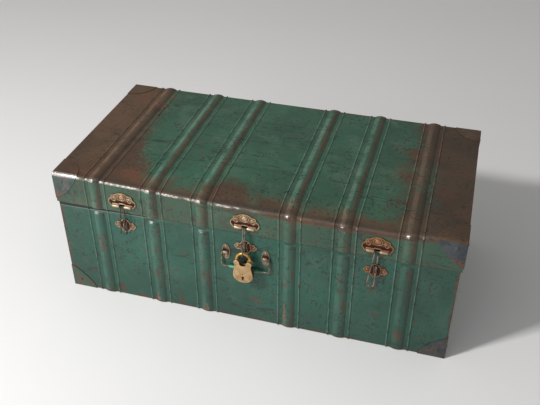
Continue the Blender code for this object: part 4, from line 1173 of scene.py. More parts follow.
def block(name: str, low: Point, high: Point) -> Piece:
    """A box between two corners."""
    bpy.ops.mesh.primitive_cube_add(size=1.0, location=(Vector(low) + Vector(high)) / 2)
    piece = added(name)
    piece.scale = Vector(high) - Vector(low)
    return put(piece)


def wire(name: str, path: Sequence[Point], radius: float, closed: bool = False) -> Piece:
    """A round wire along a path.

    Args:
        name: the piece's name.
        path: the points of its middle line.
        radius: half its thickness.
        closed: whether the end joins the start.

    Returns:
        The wire as a smooth mesh.
    """
    data = bpy.data.curves.new(name, "CURVE")
    data.dimensions = "3D"
    data.bevel_depth = radius
    data.bevel_resolution = 4
    data.use_fill_caps = True
    spline = data.splines.new("POLY")
    spline.points.add(len(path) - 1)
    for point, place in zip(spline.points, path):
        point.co = (*place, 1.0)
    spline.use_cyclic_u = closed
    piece = bpy.data.objects.new(name, data)
    bpy.context.scene.collection.objects.link(piece)
    only(piece)
    bpy.ops.object.convert(target="MESH")
    piece = added(name)
    with editing(piece):
        bpy.ops.mesh.remove_doubles(threshold=TINY)
        bpy.ops.mesh.normals_make_consistent(inside=False)
    return softened(piece, 60.0)


def rounded(bends: Sequence[Point], radius: float, steps: int = 8) -> list[Vector]:
    """A path with each inner corner rounded off.

    Args:
        bends: the path's corners.
        radius: the bends' radius.
        steps: how many points a bend gets, less one.

    Returns:
        The points of the rounded path.
    """
    points = [Vector(corner) for corner in bends]
    path = [points[0]]
    for before, here, after in zip(points, points[1:], points[2:]):
        back, ahead = (before - here).normalized(), (after - here).normalized()
        half = back.angle(ahead) / 2
        reach = radius / math.tan(half)
        middle = here + (back + ahead).normalized() * (radius / math.sin(half))
        first, last = ((here + way * reach - middle).normalized() for way in (back, ahead))
        path += [middle + first.slerp(last, step / steps) * radius for step in range(steps + 1)]
    return path + [points[-1]]


def mirrored(half: Sequence[Flat]) -> list[Flat]:
    """An outline from its right half, which starts and ends on the middle line."""
    return list(half) + [(-x, z) for x, z in reversed(half[1:-1])]


@dataclass
class Caps:
    """Riveted corner caps: bent sheet over the lid's upper corners and the body's lower ones."""

    trunk: Trunk
    look: Look
    leg: float = 0.050
    lid_drop: float = 0.056
    thick: float = 0.0008
    depth: float = 0.060
    edge_round: float = 0.0012
    waist: float = 1.35
    rivet_in: float = 0.017
    rivet: float = 0.0042
    rivet_rise: float = 0.0016
    bend_steps: int = 8
    edge_steps: int = 3
    facing: float = 0.2

    def trimmer(self, corner: Vector, reach: Point) -> Piece:
        """A pebble round the corner: round seen along Z, nearly straight-sided seen from the front."""
        pebble = ball("pebble", (0.0, 0.0, 0.0), (1.0, 1.0, 1.0), 64, 48)
        power = 2.0 / self.waist
        for vertex in pebble.data.vertices:
            x, y, z = vertex.co
            flat = math.hypot(x, y)
            share = min(1.0, flat) ** power / flat if flat > TINY else 0.0
            tall = math.copysign(reach[2] * min(1.0, abs(z)) ** power, z)
            vertex.co = corner + Vector((reach[0] * x * share, reach[1] * y * share, tall))
        return pebble

    def shell(self, name: str, corner: Vector, up: int, reach: Point, bend: float) -> Piece:
        """One cap at the front right.

        Args:
            name: the piece's name.
            corner: the outermost corner of the cap.
            up: 1 where the flat leg is on top, -1 where it is underneath.
            reach: how far the legs run along X, Y and Z.
            bend: the radius where the flat leg turns down the front.

        Returns:
            The cap with its rivets.
        """
        inward = Vector((-1.0, 1.0, -up))
        ends = list(zip(corner, corner + inward * self.depth))
        piece = block(name, tuple(map(min, ends)), tuple(map(max, ends)))

        def at_corner(edge: Any, *axes: int) -> bool:
            """Whether an edge lies on the corner's planes."""
            return all(abs(v.co[axis] - corner[axis]) < TINY for v in edge.verts for axis in axes)

        with editing(piece):
            if bend > self.edge_round:
                pick(piece, "EDGE", lambda edge: at_corner(edge, 1, 2))
                bpy.ops.mesh.bevel(offset=bend, segments=self.bend_steps)
            pick(piece, "EDGE", lambda edge: at_corner(edge, 0))
            bpy.ops.mesh.bevel(offset=self.edge_round, segments=self.edge_steps)
        combined(piece, self.trimmer(corner, reach), "INTERSECT")
        with editing(piece):
            pick(piece, "FACE", lambda face: face.normal.dot(inward) > self.facing)
            bpy.ops.mesh.delete(type="FACE")
        applied(piece, "SOLIDIFY", thickness=self.thick, offset=-1.0)
        step, size, rise = self.rivet_in, self.rivet, self.rivet_rise
        z = corner.z - up * step
        front = ball("rivet", (corner.x - step, corner.y, z), (size, rise, size))
        side = ball("rivet", (corner.x, corner.y + step, z), (rise, size, size))
        return softened(coated(joined([piece, front, side], name), self.look), 40.0)

    def build(self) -> None:
        """Builds the two kinds of cap once and copies each to four corners."""
        trunk = self.trunk
        over = trunk.fit + self.thick
        leg, drop = self.leg + over, self.lid_drop + over
        lid_corner = Vector((trunk.half_length + over, trunk.front - over, trunk.lid_top + over))
        foot_x = trunk.half_length - trunk.set_in_end + over
        foot_corner = Vector((foot_x, trunk.front + trunk.set_in_front - over, 0.0))
        kinds = (
            (self.shell("lid_cap", lid_corner, 1, (leg, leg, drop), trunk.bend + over), Body.LID),
            (self.shell("body_cap", foot_corner, -1, (leg, leg, leg), self.edge_round), Body.BOX),
        )
        for piece, body in kinds:
            for depth_word, side_y in (("front", 1), ("back", -1)):
                for side_word, side_x in reversed(SIDES.items()):
                    flip = shifted(0.0, trunk.centre_y) @ Matrix.Diagonal((side_x, side_y, 1, 1))
                    node = f"{piece.name}_{depth_word}_{side_word}"
                    cap = copied(piece, f"{node}_sheet", flip @ shifted(0.0, -trunk.centre_y))
                    hung(cap, body, Slot.CAP, node)
            removed(piece)


@dataclass(frozen=True)
class Stamping:
    """How a brass plate is stamped: a hollow within a rim, and the lines at which its dark middle ends."""

    thick: float
    rim: float
    slope: float
    hollow: float
    edge: float
    edge_angle: float
    across: Point
    lines: tuple[float, ...]
    blur: float = 0.0001

    @property
    def floor(self) -> float:
        """How far the hollow's floor stands from the plate's back."""
        return self.thick - self.hollow

    def plate(self, name: str, outline: Sequence[Flat], back: float) -> Piece:
        """Makes the plate, cut along its lines."""
        piece = outline_plate(name, outline, back, self.thick)
        bevelled(hollowed(piece, self.rim, self.slope, self.hollow), self.edge, self.edge_angle)
        return scored(piece, self.across, *self.lines)

    def deep(self, place: Vector) -> float:
        """How far a place lies in the dark middle, 0 to 1."""
        inner, outer = self.lines[-2:]
        return smooth(abs(place.dot(Vector(self.across))), outer - self.blur, inner + self.blur)

    def note(self, pieces: Sequence[Piece], back: float, proud: float = 1.0) -> None:
        """Stores how far points stand out from the back, times proud, and how deep in the dark they lie."""
        noted(pieces, proud=lambda co: (back - co.y) * proud, bare=lambda co: 0.0, deep=self.deep)


ALONG_X, ALONG_Z = (1.0, 0.0, 0.0), (0.0, 0.0, 1.0)
CROWN = Stamping(0.0019, 0.0016, 0.0007, 0.0008, 0.00035, 40.0, ALONG_Z, (0.0092, 0.0115))
WINGS = Stamping(0.0015, 0.0012, 0.0006, 0.0006, 0.0003, 40.0, ALONG_X, (-0.0118, -0.0095, 0.0095, 0.0118))
BRACKET = Stamping(0.0013, 0.0011, 0.0006, 0.0004, 0.0003, 35.0, ALONG_Z, (-0.0074, -0.0058, 0.0058, 0.0074))


@dataclass
class Hasps:
    """Three crown plates with barrels, their links, and the butterfly plates with their staples."""

    trunk: Trunk
    brass: Look
    wire_look: Look
    shaded_wire_look: Look
    catch_at: float = 0.238032
    pivot_z: float = 0.2265
    pivot_out: float = 0.005
    half_width: float = 0.0275
    height: float = 0.0285
    lobe_z: float = 0.0072
    lobe: float = 0.0088
    bead: float = 0.00085
    sunk: float = 0.0004
    boss_z: float = 0.0186
    boss: Point = (0.0058, 0.0020, 0.0048)
    boss_ring: Flat = (0.0080, 0.0068)
    scroll_x: float = 0.0152
    scroll_z: float = 0.0128
    scroll_radii: Flat = (0.0056, 0.0022)
    scroll_turns: Flat = (150.0, -270.0)
    scroll_steps: int = 30
    barrel: float = 0.00245
    barrel_from: float = 0.0052
    barrel_to: float = 0.0185
    barrel_edge: float = 0.0004
    web_half: float = 0.0016
    web_from: float = 0.0019
    link_wire: float = 0.00125
    link_bend: float = 0.0030
    link_arm: float = 0.0140
    link_top: float = 0.0030
    link_foot: float = 0.0064
    left_sway: float = 0.001
    left_trim: float = 0.0045
    right_sway: float = -0.0055
    eye_gap: float = 0.0032
    eye_flare: float = 0.6
    neck: float = 0.016
    narrow: float = 0.0016
    neck_share: float = 0.7
    hoop_share: float = 0.4
    staple_z: float = 0.180
    wing_half: float = 0.0215
    wing_height: float = 0.0150
    wing_proud: float = 1.35
    wing_rivet_at: float = 0.0150
    wing_rivet: Point = (0.0024, 0.0011, 0.0024)
    collar_at: float = 0.0058
    collar: Flat = (0.0036, 0.0104)
    collar_wire: float = 0.0006
    staple_wire: float = 0.0014
    staple_out: float = 0.0076
    staple_reach: float = 0.0095
    staple_bend: float = 0.0042
    staple_root: float = 0.0013

    @property
    def lid_face(self) -> float:
        """The Y that the crown plates sit on."""
        return self.trunk.front - self.trunk.fit

    @property
    def wall_face(self) -> float:
        """The Y that the butterfly plates sit on."""
        return self.lid_face + self.trunk.set_in_front

    @property
    def pivot_y(self) -> float:
        """The Y of the links' pivots."""
        return self.trunk.front - self.pivot_out

    def crown_outline(self) -> list[Flat]:
        """A crown: round lobes at the sides, small horns at the shoulders, a round top."""
        half = [(0.0, 0.0030), (0.0046, 0.0030), (0.0050, 0.0016), (0.0184, 0.0016), (0.0190, -0.0016)]
        half += [(0.0206, -0.0032), (0.0228, -0.0030)]
        half += arc((self.half_width - self.lobe, self.lobe_z), self.lobe, -50, 62, 12)
        half += [(0.0212, 0.0178), (0.0211, 0.0202), (0.0200, 0.0220), (0.0180, 0.0226), (0.0154, 0.0228)]
        half += [(0.0126, 0.0238), (0.0100, 0.0256), (0.0072, 0.0271), (0.0040, 0.0281), (0.0, self.height)]
        return mirrored(half)

    def scroll(self, side: int, y: float) -> Piece:
        """A raised scroll beside the boss."""
        path = []
        (wide, tight), (first, last) = self.scroll_radii, self.scroll_turns
        for step in range(self.scroll_steps + 1):
            share = step / self.scroll_steps
            turn, radius = math.radians(first + (last - first) * share), wide + (tight - wide) * share
            x, z = self.scroll_x + radius * math.cos(turn), self.scroll_z + radius * math.sin(turn)
            path.append((side * x, y, z))
        return wire("scroll", path, self.bead)

    def barrel_half(self, side: int) -> list[Piece]:
        """One half of a crown's barrel, bored for the link, and the web that holds it."""
        y, inner, outer = self.pivot_y, side * self.barrel_from, side * self.barrel_to
        tube = drum("tube", self.barrel, (inner, y, 0.0), (outer, y, 0.0))
        bore = self.link_wire + self.trunk.fit
        combined(tube, drum("bore", bore, (inner - side * PAST, y, 0.0), (outer, y, 0.0)))
        low, high = sorted((inner + side * self.sunk, outer - side * self.sunk))
        web_low = (low, y + self.web_from, -self.web_half)
        web = block("web", web_low, (high, self.lid_face - self.sunk, self.web_half))
        return [bevelled(tube, self.barrel_edge, 50.0), bevelled(web, self.barrel_edge, 30.0)]

    def crown(self) -> Piece:
        """One crown plate round X 0 with rim, boss, scrolls and barrels, these on the pivot's height."""
        face = self.lid_face
        beads_at = face - CROWN.thick + self.sunk
        plate = CROWN.plate("crown", self.crown_outline(), face)
        boss = ball("boss", (0.0, beads_at + self.sunk, self.boss_z), self.boss, 32, 16)
        ring = [(x, beads_at, self.boss_z + z) for x, z in oval(*self.boss_ring, 40)]
        pieces = [plate, boss, wire("boss_ring", ring, self.bead, True)]
        pieces += [self.scroll(side, beads_at) for side in (-1, 1)]
        barrels = [piece for side in (-1, 1) for piece in self.barrel_half(side)]
        CROWN.note(pieces, face)
        noted(barrels, proud=lambda co: face - co.y, bare=lambda co: 1.0)
        crown = joined(pieces + barrels, "crown")
        crown.data.transform(shifted(0.0, 0.0, self.pivot_z))
        return softened(coated(crown, self.brass), 40.0)

    def butterfly_outline(self) -> list[Flat]:
        """Two wings with pointed corners on a round middle."""
        lower = [(0.0, -self.wing_height)]
        lower += arc((0.0, -0.0055), 0.0095, -75, -10, 7)
        lower += [(0.0118, -0.0066), (0.0150, -0.0076), (0.0172, -0.0071)]
        lower += [(0.0176, -0.0048), (0.0200, -0.0030), (self.wing_half, -0.0013)]
        return mirrored(lower + [(x, -z) for x, z in reversed(lower)])

    def butterfly(self) -> Piece:
        """One butterfly plate round X 0 at the staple's height."""
        face = self.wall_face
        floor = face - WINGS.floor
        pieces = [WINGS.plate("butterfly", self.butterfly_outline(), face)]
        for side in (-1, 1):
            pieces.append(ball("rivet", (side * self.wing_rivet_at, floor, 0.0), self.wing_rivet))
            collar = [(side * self.collar_at + x, floor, z) for x, z in oval(*self.collar, 28)]
            pieces.append(wire("collar", collar, self.collar_wire, True))
        WINGS.note(pieces, face, self.wing_proud)
        plate = joined(pieces, "butterfly")
        plate.data.transform(shifted(0.0, 0.0, self.staple_z))
        return softened(coated(plate, self.brass), 40.0)

    def staple(self) -> Piece:
        """One wire staple round X 0."""
        root, reach = self.wall_face - self.staple_root, self.staple_reach
        crown = root - self.staple_out + self.staple_wire
        path = [(0.0, root, reach), (0.0, crown, reach - self.staple_wire)]
        path += [(x, y, -z) for x, y, z in reversed(path)]
        piece = wire("staple", rounded(path, self.staple_bend), self.staple_wire)
        piece.data.transform(shifted(0.0, 0.0, self.staple_z))
        return coated(piece, self.wire_look)

    def foot(self, node: str) -> Vector:
        """Where a CAD link's lower end lies, seen from its pivot."""
        low = Vector(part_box(node)[0])
        return Vector((0.0, low.y + self.link_wire - self.pivot_y, low.z + self.link_wire - self.pivot_z))

    def hang(self, node: str, path: Sequence[Point], x: float) -> Piece:
        """Makes a link from a path straight down from its pivot, leant to the slant of its CAD node."""
        piece = wire(f"{node}_wire", path, self.link_wire)
        foot = self.foot(node)
        lean = math.atan2(-foot.y, -foot.z)
        piece.data.transform(shifted(x, self.pivot_y, self.pivot_z) @ Matrix.Rotation(-lean, 4, "X"))
        # The left link gets the darker wire, as painted shade.
        return coated(piece, self.shaded_wire_look if node == Body.LEFT_LINK.value else self.wire_look)

    def link(self, node: str, x: float, sway: float, trim: float = 0.0) -> Piece:
        """A hairpin link; sway is how far its foot is bent aside, trim how much shorter it is drawn."""
        length = self.foot(node).length - trim
        half = [(self.link_arm, 0.0), (self.link_top, 0.0), (self.link_foot, -length)]
        loop = half + [(-a, c) for a, c in reversed(half)]
        path = [(a - sway * (c / length), 0.0, c) for a, c in loop]
        return self.hang(node, rounded(path, self.link_bend), x)

    def padlock_link(self, node: str, x: float, bar_z: float, bar_out: float) -> Piece:
        """The middle link, its legs close together, its eye round the padlock's shackle."""
        eye, narrow = self.eye_gap + self.link_wire, self.narrow
        floor = -math.hypot(bar_out - self.pivot_out, self.pivot_z - bar_z) - eye
        neck, flare = floor + self.neck, eye * self.eye_flare
        arm = rounded([(self.link_arm, 0.0, 0.0), (narrow, 0.0, 0.0), (narrow, 0.0, neck)], self.link_bend)
        arm.append(Vector((narrow * self.neck_share, -flare, neck - flare)))
        ring = arc((0.0, floor + eye), eye, 180, 360, 16)
        hoop = [Vector((-narrow * self.hoop_share * y / eye, y, z)) for y, z in ring]
        return self.hang(node, arm + hoop + [Vector((-p.x, -p.y, p.z)) for p in reversed(arm)], x)

    def build(self, bar_z: float, bar_out: float) -> None:
        """Builds and hangs the three catches, the middle one round the padlock's bar."""
        middle = self.trunk.shift
        left, right = middle - self.catch_at, middle + self.catch_at
        crown, butterfly, staple = self.crown(), self.butterfly(), self.staple()
        for word, x in (("left", left), ("centre", middle), ("right", right)):
            move = shifted(x)
            hung(copied(crown, f"{word}_crown", move), Body.LID, Slot.PLATE, f"{word}_hasp_plate")
            hung(copied(butterfly, f"{word}_butterfly", move), Body.BOX, Slot.PLATE, f"{word}_staple_plate")
            hung(copied(staple, f"{word}_staple_wire", move), Body.BOX, Slot.WIRE, f"{word}_staple")
        removed(crown, butterfly, staple)
        links = {
            Body.LEFT_LINK: self.link("left_link", left, self.left_sway, self.left_trim),
            Body.RIGHT_LINK: self.link("right_link", right, self.right_sway),
            Body.CENTRE_LINK: self.padlock_link("centre_link", middle, bar_z, bar_out),
        }
        for body, piece in links.items():
            hung(piece, body, Slot.WIRE, body.value)


@dataclass
class Padlock:
    """The brass padlock: a case with two ears, its shackle and its pin."""

    trunk: Trunk
    face: Look
    dark: Look
    rim: Look
    side: Look
    bright: Look
    out: float = 0.015
    thick: float = 0.011
    half_width: float = 0.0190
    base_share: float = 0.86
    edge: float = 0.0011
    ear_top: float = 0.162
    bottom: float = 0.111
    ear_radius: float = 0.0055
    ear_at: float = 0.0118
    hoop_half: float = 0.0125
    hoop_wire: float = 0.0025
    bar_z: float = 0.176
    pin_z: float = 0.152
    pin_radius: float = 0.0014
    lug_radius: float = 0.0042
    slot_gap: float = 0.0006
    key_z: float = 0.1235
    key_radius: float = 0.0025
    key_depth: float = 0.003
    key_border: float = 0.0005
    ward_half: float = 0.0013
    ward_drop: float = 0.0060
    dot_up: float = 0.0082
    dot_radius: float = 0.0010
    dot_depth: float = 0.002
    notch_half: float = 0.0085
    notch_floor: float = 0.1465
    notch_flat: float = 0.9
    face_flat: float = 0.97
    rim_flat: float = 0.45
    sliver: float = 0.0001
    lug_in: float = 0.0003
    pin_edge: float = 0.0004

    @property
    def middle_y(self) -> float:
        """The Y of the padlock's middle plane."""
        return self.trunk.front - self.out

    @property
    def pin_x(self) -> float:
        """The X of the pin."""
        return self.trunk.shift - self.hoop_half

    def across(self, name: str, radius: float, x: float, z: float, reach: Flat) -> Piece:
        """A round bar along Y between two distances from the middle plane."""
        start, end = (self.middle_y + part for part in reach)
        return drum(name, radius, (x, start, z), (x, end, z))

    def outline(self) -> list[Flat]:
        """Round base, full cheeks, two round ears and a notch between them."""
        base = self.half_width * self.base_share
        middle = self.bottom + base
        turns = [math.pi / 2 * step / 14 for step in range(15)]
        half = [(self.half_width * math.sin(turn), middle - base * math.cos(turn)) for turn in turns]
        half += [(0.0189, 0.1303), (0.0184, 0.1340), (0.0176, 0.1380), (0.0167, 0.1420)]
        half += [(0.0157, 0.1452), (0.0152, 0.1480), (0.0154, 0.1508)]
        half += arc((self.ear_at, self.ear_top - self.ear_radius), self.ear_radius, -38, 182, 20)
        half += [(0.0060, 0.1535), (0.0050, 0.1519), (0.0032, 0.1508), (0.0, 0.1505)]
        return [(x + self.trunk.shift, z) for x, z in mirrored(half)]

    def case(self) -> Piece:
        """The case with softened edges and a slot for the shackle, with painted shade in its keyhole, on its
        notch and along its sides.
        """
        x, y, key = self.trunk.shift, self.middle_y, self.key_z
        half, wide = self.thick / 2, self.half_width + PAST
        front, outside = y - half, -half - PAST
        piece = outline_plate("padlock_body", self.outline(), y + half, self.thick)
        bevelled(piece, self.edge, 50.0, 3)
        gap, ward, deep = self.hoop_wire + self.slot_gap, self.ward_half, front + self.key_depth
        floor = self.pin_z - self.lug_radius - self.slot_gap
        for tool in (
            block("slot", (x - wide, y - gap, floor), (x + wide, y + gap, self.bar_z)),
            self.across("key", self.key_radius, x, key, (outside, -half + self.key_depth)),
            block("ward", (x - ward, y + outside, key - self.ward_drop), (x + ward, deep, key)),
            self.across("dot", self.dot_radius, x, key + self.dot_up, (outside, -half + self.dot_depth)),
        ):
            combined(piece, tool)
        coated(piece, self.face, self.dark, self.rim, self.side)
        border = self.key_border
        low, high = key - self.ward_drop - border, key + self.dot_up + self.dot_radius + border
        for polygon in piece.data.polygons:
            middle, flat = polygon.center, abs(polygon.normal.y)
            aside, inside = abs(middle.x - x), middle.y - self.sliver
            near = aside < self.key_radius + border and low < middle.z < high
            keyhole = near and front < inside < deep
            notch = aside < self.notch_half and middle.z > self.notch_floor and inside > front + self.edge
            # Painted shade: near black in the keyhole and on the notch's floor, and a darker copy of the
            # brass on the case's sides.
            if keyhole or (notch and flat < self.notch_flat):
                polygon.material_index = 1
            elif flat < self.face_flat:
                polygon.material_index = 2 if flat > self.rim_flat else 3
        return softened(piece)

    def shackle(self) -> Piece:
        """The hoop with the lug that its pin goes through."""
        x, y, reach, z = self.trunk.shift, self.middle_y, self.hoop_half, self.pin_z
        arch = [(x + reach, z), *arc((x, self.bar_z - reach), reach, 0, 180, 32), (x - reach, z)]
        hoop = wire("shackle_hoop", [(a, y, b) for a, b in arch], self.hoop_wire)
        half, past = self.hoop_wire - self.lug_in, self.lug_radius + PAST
        lug = self.across("lug", self.lug_radius, self.pin_x, z, (-half, half))
        bore = self.across("bore", self.pin_radius + self.trunk.fit, self.pin_x, z, (-past, past))
        piece = combined(joined([hoop, lug], "shackle_hoop"), bore, use_self=True)
        return softened(coated(piece, self.bright), 50.0)

    def pin(self) -> Piece:
        """The riveted pin, as long as the case is thick."""
        half = self.thick / 2
        piece = self.across("pin_rod", self.pin_radius, self.pin_x, self.pin_z, (-half, half))
        return softened(coated(bevelled(piece, self.pin_edge, 50.0), self.side))

    def build(self) -> None:
        """Builds the padlock's three pieces."""
        hung(self.case(), Body.PADLOCK, Slot.PADLOCK, "padlock_case")
        hung(self.shackle(), Body.SHACKLE, Slot.PADLOCK, "padlock_shackle")
        hung(self.pin(), Body.PADLOCK, Slot.WIRE, "padlock_pin")


@dataclass
class Handle:
    """A drop handle: two oval brackets, a wire bail and a painted grip, drawn at the origin."""

    brass: Look
    wire_look: Look
    grip_paint: Look
    span: float = 0.038
    half_width: float = 0.0080
    half_height: float = 0.0175
    rivet_at: float = 0.0115
    plate: float = 0.0010
    fit: float = 0.0003
    bail_wire: float = 0.0016
    bail_half: float = 0.0460
    drop: float = 0.0320
    bend: float = 0.0040
    end_inside: float = 0.0055
    eye_half: float = 0.0036
    eye_wall: float = 0.0012
    eye_proud: float = 0.55
    plate_proud: float = 1.5
    edge: float = 0.0003
    sunk: float = 0.0004
    web_share: float = 0.7
    rivet: Point = (0.0026, 0.0012, 0.0026)
    grip_half: float = 0.0330
    grip_radius: float = 0.0032
    grip_end: float = 0.0024
    grip_roll: float = 0.0009
    grip_bore: float = 0.05
    taper: float = 0.0110

    @property
    def axis(self) -> float:
        """The Y of the bail's axis, in front of a wall at Y 0."""
        return -(self.fit + self.plate + self.bail_wire + self.fit + self.eye_wall)

    def bar(self, name: str, radius: float, half: float, z: float = 0.0) -> Piece:
        """A round bar along X at a height on the bail's axis."""
        return drum(name, radius, (-half, self.axis, z), (half, self.axis, z))

    def bracket(self) -> Piece:
        """One bracket round the origin, on a wall at Y 0."""
        back, half = -self.fit, self.eye_half
        plate = BRACKET.plate("bracket", oval(self.half_width, self.half_height, 48), back)
        bore = self.bail_wire + self.fit
        outer = bore + self.eye_wall
        web_half = outer * self.web_share
        eye = self.bar("eye", outer, half)
        web = block("web", (-half, self.axis, -web_half), (half, back - self.sunk, web_half))
        bevelled(web, self.edge, 30.0)
        for piece in (eye, web):
            combined(piece, self.bar("bore", bore, half + PAST))
        bevelled(eye, self.edge, 50.0)
        places = [(0.0, back - self.plate, side * self.rivet_at) for side in (-1, 1)]
        flat = [plate, *(ball("rivet", place, self.rivet) for place in places)]
        BRACKET.note([eye, web], back, self.eye_proud)
        BRACKET.note(flat, back, self.plate_proud)
        return softened(coated(joined([plate, eye, web, *flat[1:]], "bracket"), self.brass), 40.0)

    def bail(self) -> Piece:
        """The wire bail, hanging from its axis."""
        half = [(self.span - self.end_inside, self.axis, 0.0), (self.bail_half, self.axis, 0.0)]
        half.append((self.bail_half, self.axis, -self.drop))
        path = half + [(-x, y, z) for x, y, z in reversed(half)]
        return coated(wire("bail", rounded(path, self.bend), self.bail_wire), self.wire_look)

    def grip(self) -> Piece:
        """The rolled sleeve on the bail: a bar, drawn in at both ends, rolled edges, bored through."""
        reach, share = self.grip_half, self.grip_end / self.grip_radius
        piece = self.bar("grip", self.grip_radius, reach, -self.drop)
        scored(piece, ALONG_X, self.taper - reach, reach - self.taper)
        with editing(piece):
            for side in (-1, 1):
                pick(piece, "VERT", lambda v: v.co.x * side > reach - TINY)
                middle = (side * reach, self.axis, -self.drop)
                bpy.ops.transform.resize(value=(1.0, share, share), center_override=middle)
        bevelled(piece, self.grip_roll, 50.0, 3)
        combined(piece, self.bar("bore", self.bail_wire + self.fit, self.grip_bore, -self.drop))
        return softened(coated(piece, self.grip_paint), 40.0)


@dataclass
class Handles:
    """The front handle and one on each end, all from one set of pieces."""

    trunk: Trunk
    handle: Handle
    front_z: float = 0.162
    end_z: float = 0.150

    def seats(self) -> dict[str, tuple[Matrix, Body]]:
        """Where each handle sits, and the body that its bail rides on."""
        trunk = self.trunk
        front = shifted(trunk.shift, trunk.front + trunk.set_in_front, self.front_z)
        seats = {"front": (front, Body.FRONT_HANDLE)}
        for (word, side), body in zip(SIDES.items(), (Body.LEFT_HANDLE, Body.RIGHT_HANDLE)):
            end = shifted(side * (trunk.half_length - trunk.set_in_end), trunk.centre_y, self.end_z)
            seats[f"{word}_end"] = (end @ Matrix.Rotation(side * math.pi / 2, 4, "Z"), body)
        return seats

    def build(self) -> None:
        """Builds one set and copies it to the three seats."""
        bracket, bail, grip = self.handle.bracket(), self.handle.bail(), self.handle.grip()
        for word, (seat, body) in self.seats().items():
            for side_word, side in SIDES.items():
                plate = copied(bracket, f"{word}_{side_word}_plate", seat @ shifted(side * self.handle.span))
                hung(plate, Body.BOX, Slot.PLATE, f"{word}_bracket_{side_word}")
            hung(copied(bail, f"{word}_bail_wire", seat), body, Slot.WIRE, f"{word}_bail")
            hung(copied(grip, f"{word}_sleeve", seat), body, Slot.GRIP, f"{word}_grip")
        removed(bracket, bail, grip)


@dataclass
class Hinges:
    """The three rear hinges: softened leaves with rivets, and their pins."""

    trunk: Trunk
    steel: Look
    leaf: float = 0.0015
    rivet_in: float = 0.0075
    rivet_up: float = 0.0060
    rivet: float = 0.0024
    rivet_rise: float = 0.0010
    edge_round: float = 0.00025

    def softened_copy(self, node: Piece) -> Piece:
        """A copy of a CAD piece with merged points and rounded edges."""
        piece = copied(node, f"{node.name}_steel", Matrix())
        with editing(piece):
            bpy.ops.mesh.remove_doubles(threshold=TINY)
            bpy.ops.mesh.dissolve_limited(angle_limit=math.radians(2))
        return bevelled(piece, self.edge_round, 40.0)

    def rivets(self, name: str, lid: bool) -> list[Piece]:
        """A row of rivet heads on a leaf of the lid or the body."""
        low, high = (Vector(corner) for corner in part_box(name))
        wall = self.trunk.back - (0.0 if lid else self.trunk.set_in_front)
        z = high.z - self.rivet_up if lid else low.z + self.rivet_up
        radii = (self.rivet, self.rivet_rise, self.rivet)
        places = (low.x + self.rivet_in, (low.x + high.x) / 2, high.x - self.rivet_in)
        return [ball("rivet", (x, wall + self.leaf, z), radii, 20, 10) for x in places]

    def build(self, nodes: dict[str, Piece]) -> None:
        """Replaces each hinge's three CAD pieces."""
        kinds = (("lid_leaf", Body.LID), ("body_leaf", Body.BOX), ("pin", Body.BOX))
        for name, body in ((f"hinge_{number}_{part}", body) for number in (1, 2, 3) for part, body in kinds):
            piece = self.softened_copy(nodes[name])
            if name.endswith("leaf"):
                piece = joined([piece, *self.rivets(name, body is Body.LID)], piece.name)
            hung(softened(coated(piece, self.steel)), body, Slot.HINGE, name)


# Stage


@dataclass(frozen=True)
class Lamp:
    """A rectangular soft light that looks at a point."""

    name: str
    place: Point
    aim: Point
    size: Flat
    power: float
    colour: Point

    def build(self) -> None:
        """Adds the light."""
        data = bpy.data.lights.new(self.name, "AREA")
        data.shape = "RECTANGLE"
        data.size, data.size_y = self.size
        data.energy = self.power
        data.color = self.colour
        lamp = bpy.data.objects.new(self.name, data)
        lamp.location = self.place
        lamp.rotation_euler = (Vector(self.aim) - Vector(self.place)).to_track_quat("-Z", "Y").to_euler()
        bpy.context.scene.collection.objects.link(lamp)


LAMPS = (
    Lamp("window", (-1.46, -1.58, 2.02), (0.0, 0.0, 0.18), (0.31, 0.31), 69.0, (1.0, 0.985, 0.965)),
    Lamp("room", (-1.3, -2.3, 0.9), (0.0, 0.0, 0.15), (2.4, 1.4), 15.0, (0.97, 0.99, 1.0)),
)


@dataclass
class Stage:
    """Camera, light and floor."""

    eye: Point = (0.3290, -1.18575, 1.0289)
    right: Point = (0.96139, 0.27519, 0.00022)
    ahead: Point = (-0.22412, 0.78345, -0.57963)
    lens: float = 49.41
    sensor: float = 36.0
    nearest: float = 0.01
    surround: Colour = (1.0, 0.99, 0.97, 1.0)
    surround_power: float = 0.335
    floor_size: float = 14.0
    floor_tones: tuple[str, str] = ("e4e4e5", "eaeaeb")
    floor_rough: float = 0.6

    def camera(self) -> None:
        """Sets the camera at the photograph's angle."""
        data = bpy.data.cameras.new("camera")
        data.lens = self.lens
        data.sensor_width = self.sensor
        data.clip_start = self.nearest
        camera = bpy.data.objects.new("camera", data)
        bpy.context.scene.collection.objects.link(camera)
        back = -Vector(self.ahead).normalized()
        right = Vector(self.right).normalized()
        turn = Matrix((right, back.cross(right), back)).transposed().to_4x4()
        camera.matrix_world = Matrix.Translation(self.eye) @ turn
        bpy.context.scene.camera = camera

    def light(self) -> None:
        """Sets soft light from the upper left and a pale surround."""
        world = bpy.data.worlds.new("surround")
        world.use_nodes = True
        back = world.node_tree.nodes["Background"]
        back.inputs["Color"].default_value = self.surround
        back.inputs["Strength"].default_value = self.surround_power
        bpy.context.scene.world = world
        for lamp in LAMPS:
            lamp.build()

    def floor(self) -> None:
        """Lays a plain pale floor."""
        bpy.ops.mesh.primitive_plane_add(size=self.floor_size, location=(0.0, 0.0, 0.0))
        floor = put(added("floor"))
        graph = Graph("pale_floor")
        colour = graph.mix(graph.noise(1.6, 4.0), *map(tone, self.floor_tones))
        coated(floor, graph.paint(colour, self.floor_rough))

    def build(self) -> None:
        """Builds camera, lights and floor."""
        self.camera()
        self.light()
        self.floor()
        bpy.context.scene.view_settings.view_transform = "Standard"


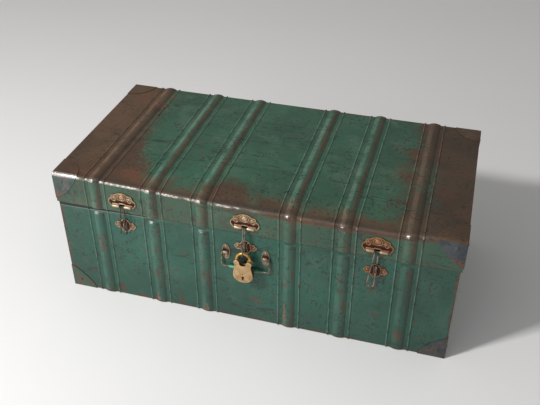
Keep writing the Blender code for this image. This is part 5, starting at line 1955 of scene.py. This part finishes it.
def dress_nodes(frame: dict, trunk: Trunk, looks: dict[str, Look], inner: Look) -> None:
    """Gives every CAD node the finish of its slot, or one of its own.

    Args:
        frame: what the frame holds: the CAD nodes by name, and the record that names their slots.
        trunk: the trunk's sizes.
        looks: the material of each slot.
        inner: the dull sheet of the bottom and the rim.
    """
    panels = WornPaint(WALL_TONES, trunk)
    chosen = {"body_bottom": inner, "body_rim_bead": inner}
    body_end, lid_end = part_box("body_end_right")[1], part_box("lid_end_right")[1]
    for side in SIDES:
        for name, outer, low, high in (
            (f"body_end_{side}", body_end[0], trunk.foot, trunk.rim_top),
            (f"lid_end_{side}", lid_end[0], trunk.lid_edge, trunk.lid_top),
        ):
            chosen[name] = panels.ends(f"{name}_paint", outer, low, high)
    slots = {entry["node"]: entry["material_slot"] for entry in frame["record"]["subparts"]}
    for name, node in frame["nodes"].items():
        coated(node, chosen.get(name) or looks[slots[name]])


def main() -> None:
    """Builds the dressed trunk piece by piece."""
    logging.basicConfig(level=logging.INFO, format="%(message)s")
    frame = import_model()
    low, high = (Vector(corner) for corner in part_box("lid_wrapper"))
    trunk = Trunk(half_length=high.x, centre_y=(low.y + high.y) / 2)
    metal = {name: look.make(name) for name, look in METALS.items()}
    wall_paint, caps = WornPaint(WALL_TONES, trunk).walls(), CapFinish(LID_TONES, trunk).make()
    paints = {Slot.PAINT.value: wall_paint, Slot.LID_PAINT.value: wall_paint, Slot.CAP.value: caps}
    inner = metal["inner_sheet"]
    dress_nodes(frame, trunk, {**metal, **paints}, inner)
    Stage().build()
    Shell(trunk, WornPaint(LID_TONES, trunk).lid(), wall_paint, inner).build()
    Caps(trunk, caps).build()
    brasses = ("padlock_brass", "keyhole_dark", "padlock_rim", "padlock_side", "shackle_brass")
    padlock = Padlock(trunk, *(metal[name] for name in brasses))
    plate_brass, bracket_brass = PLATE_BRASS.make("crown_brass"), BRACKET_BRASS.make("bracket_brass")
    Hasps(trunk, plate_brass, metal["dark_wire"], metal["dull_wire"]).build(padlock.bar_z, padlock.out)
    padlock.build()
    Handles(trunk, Handle(bracket_brass, metal["bail_wire"], metal["grip_paint"])).build()
    Hinges(trunk, metal["hinge_steel"]).build(frame["nodes"])


if __name__ == "__main__":
    main()
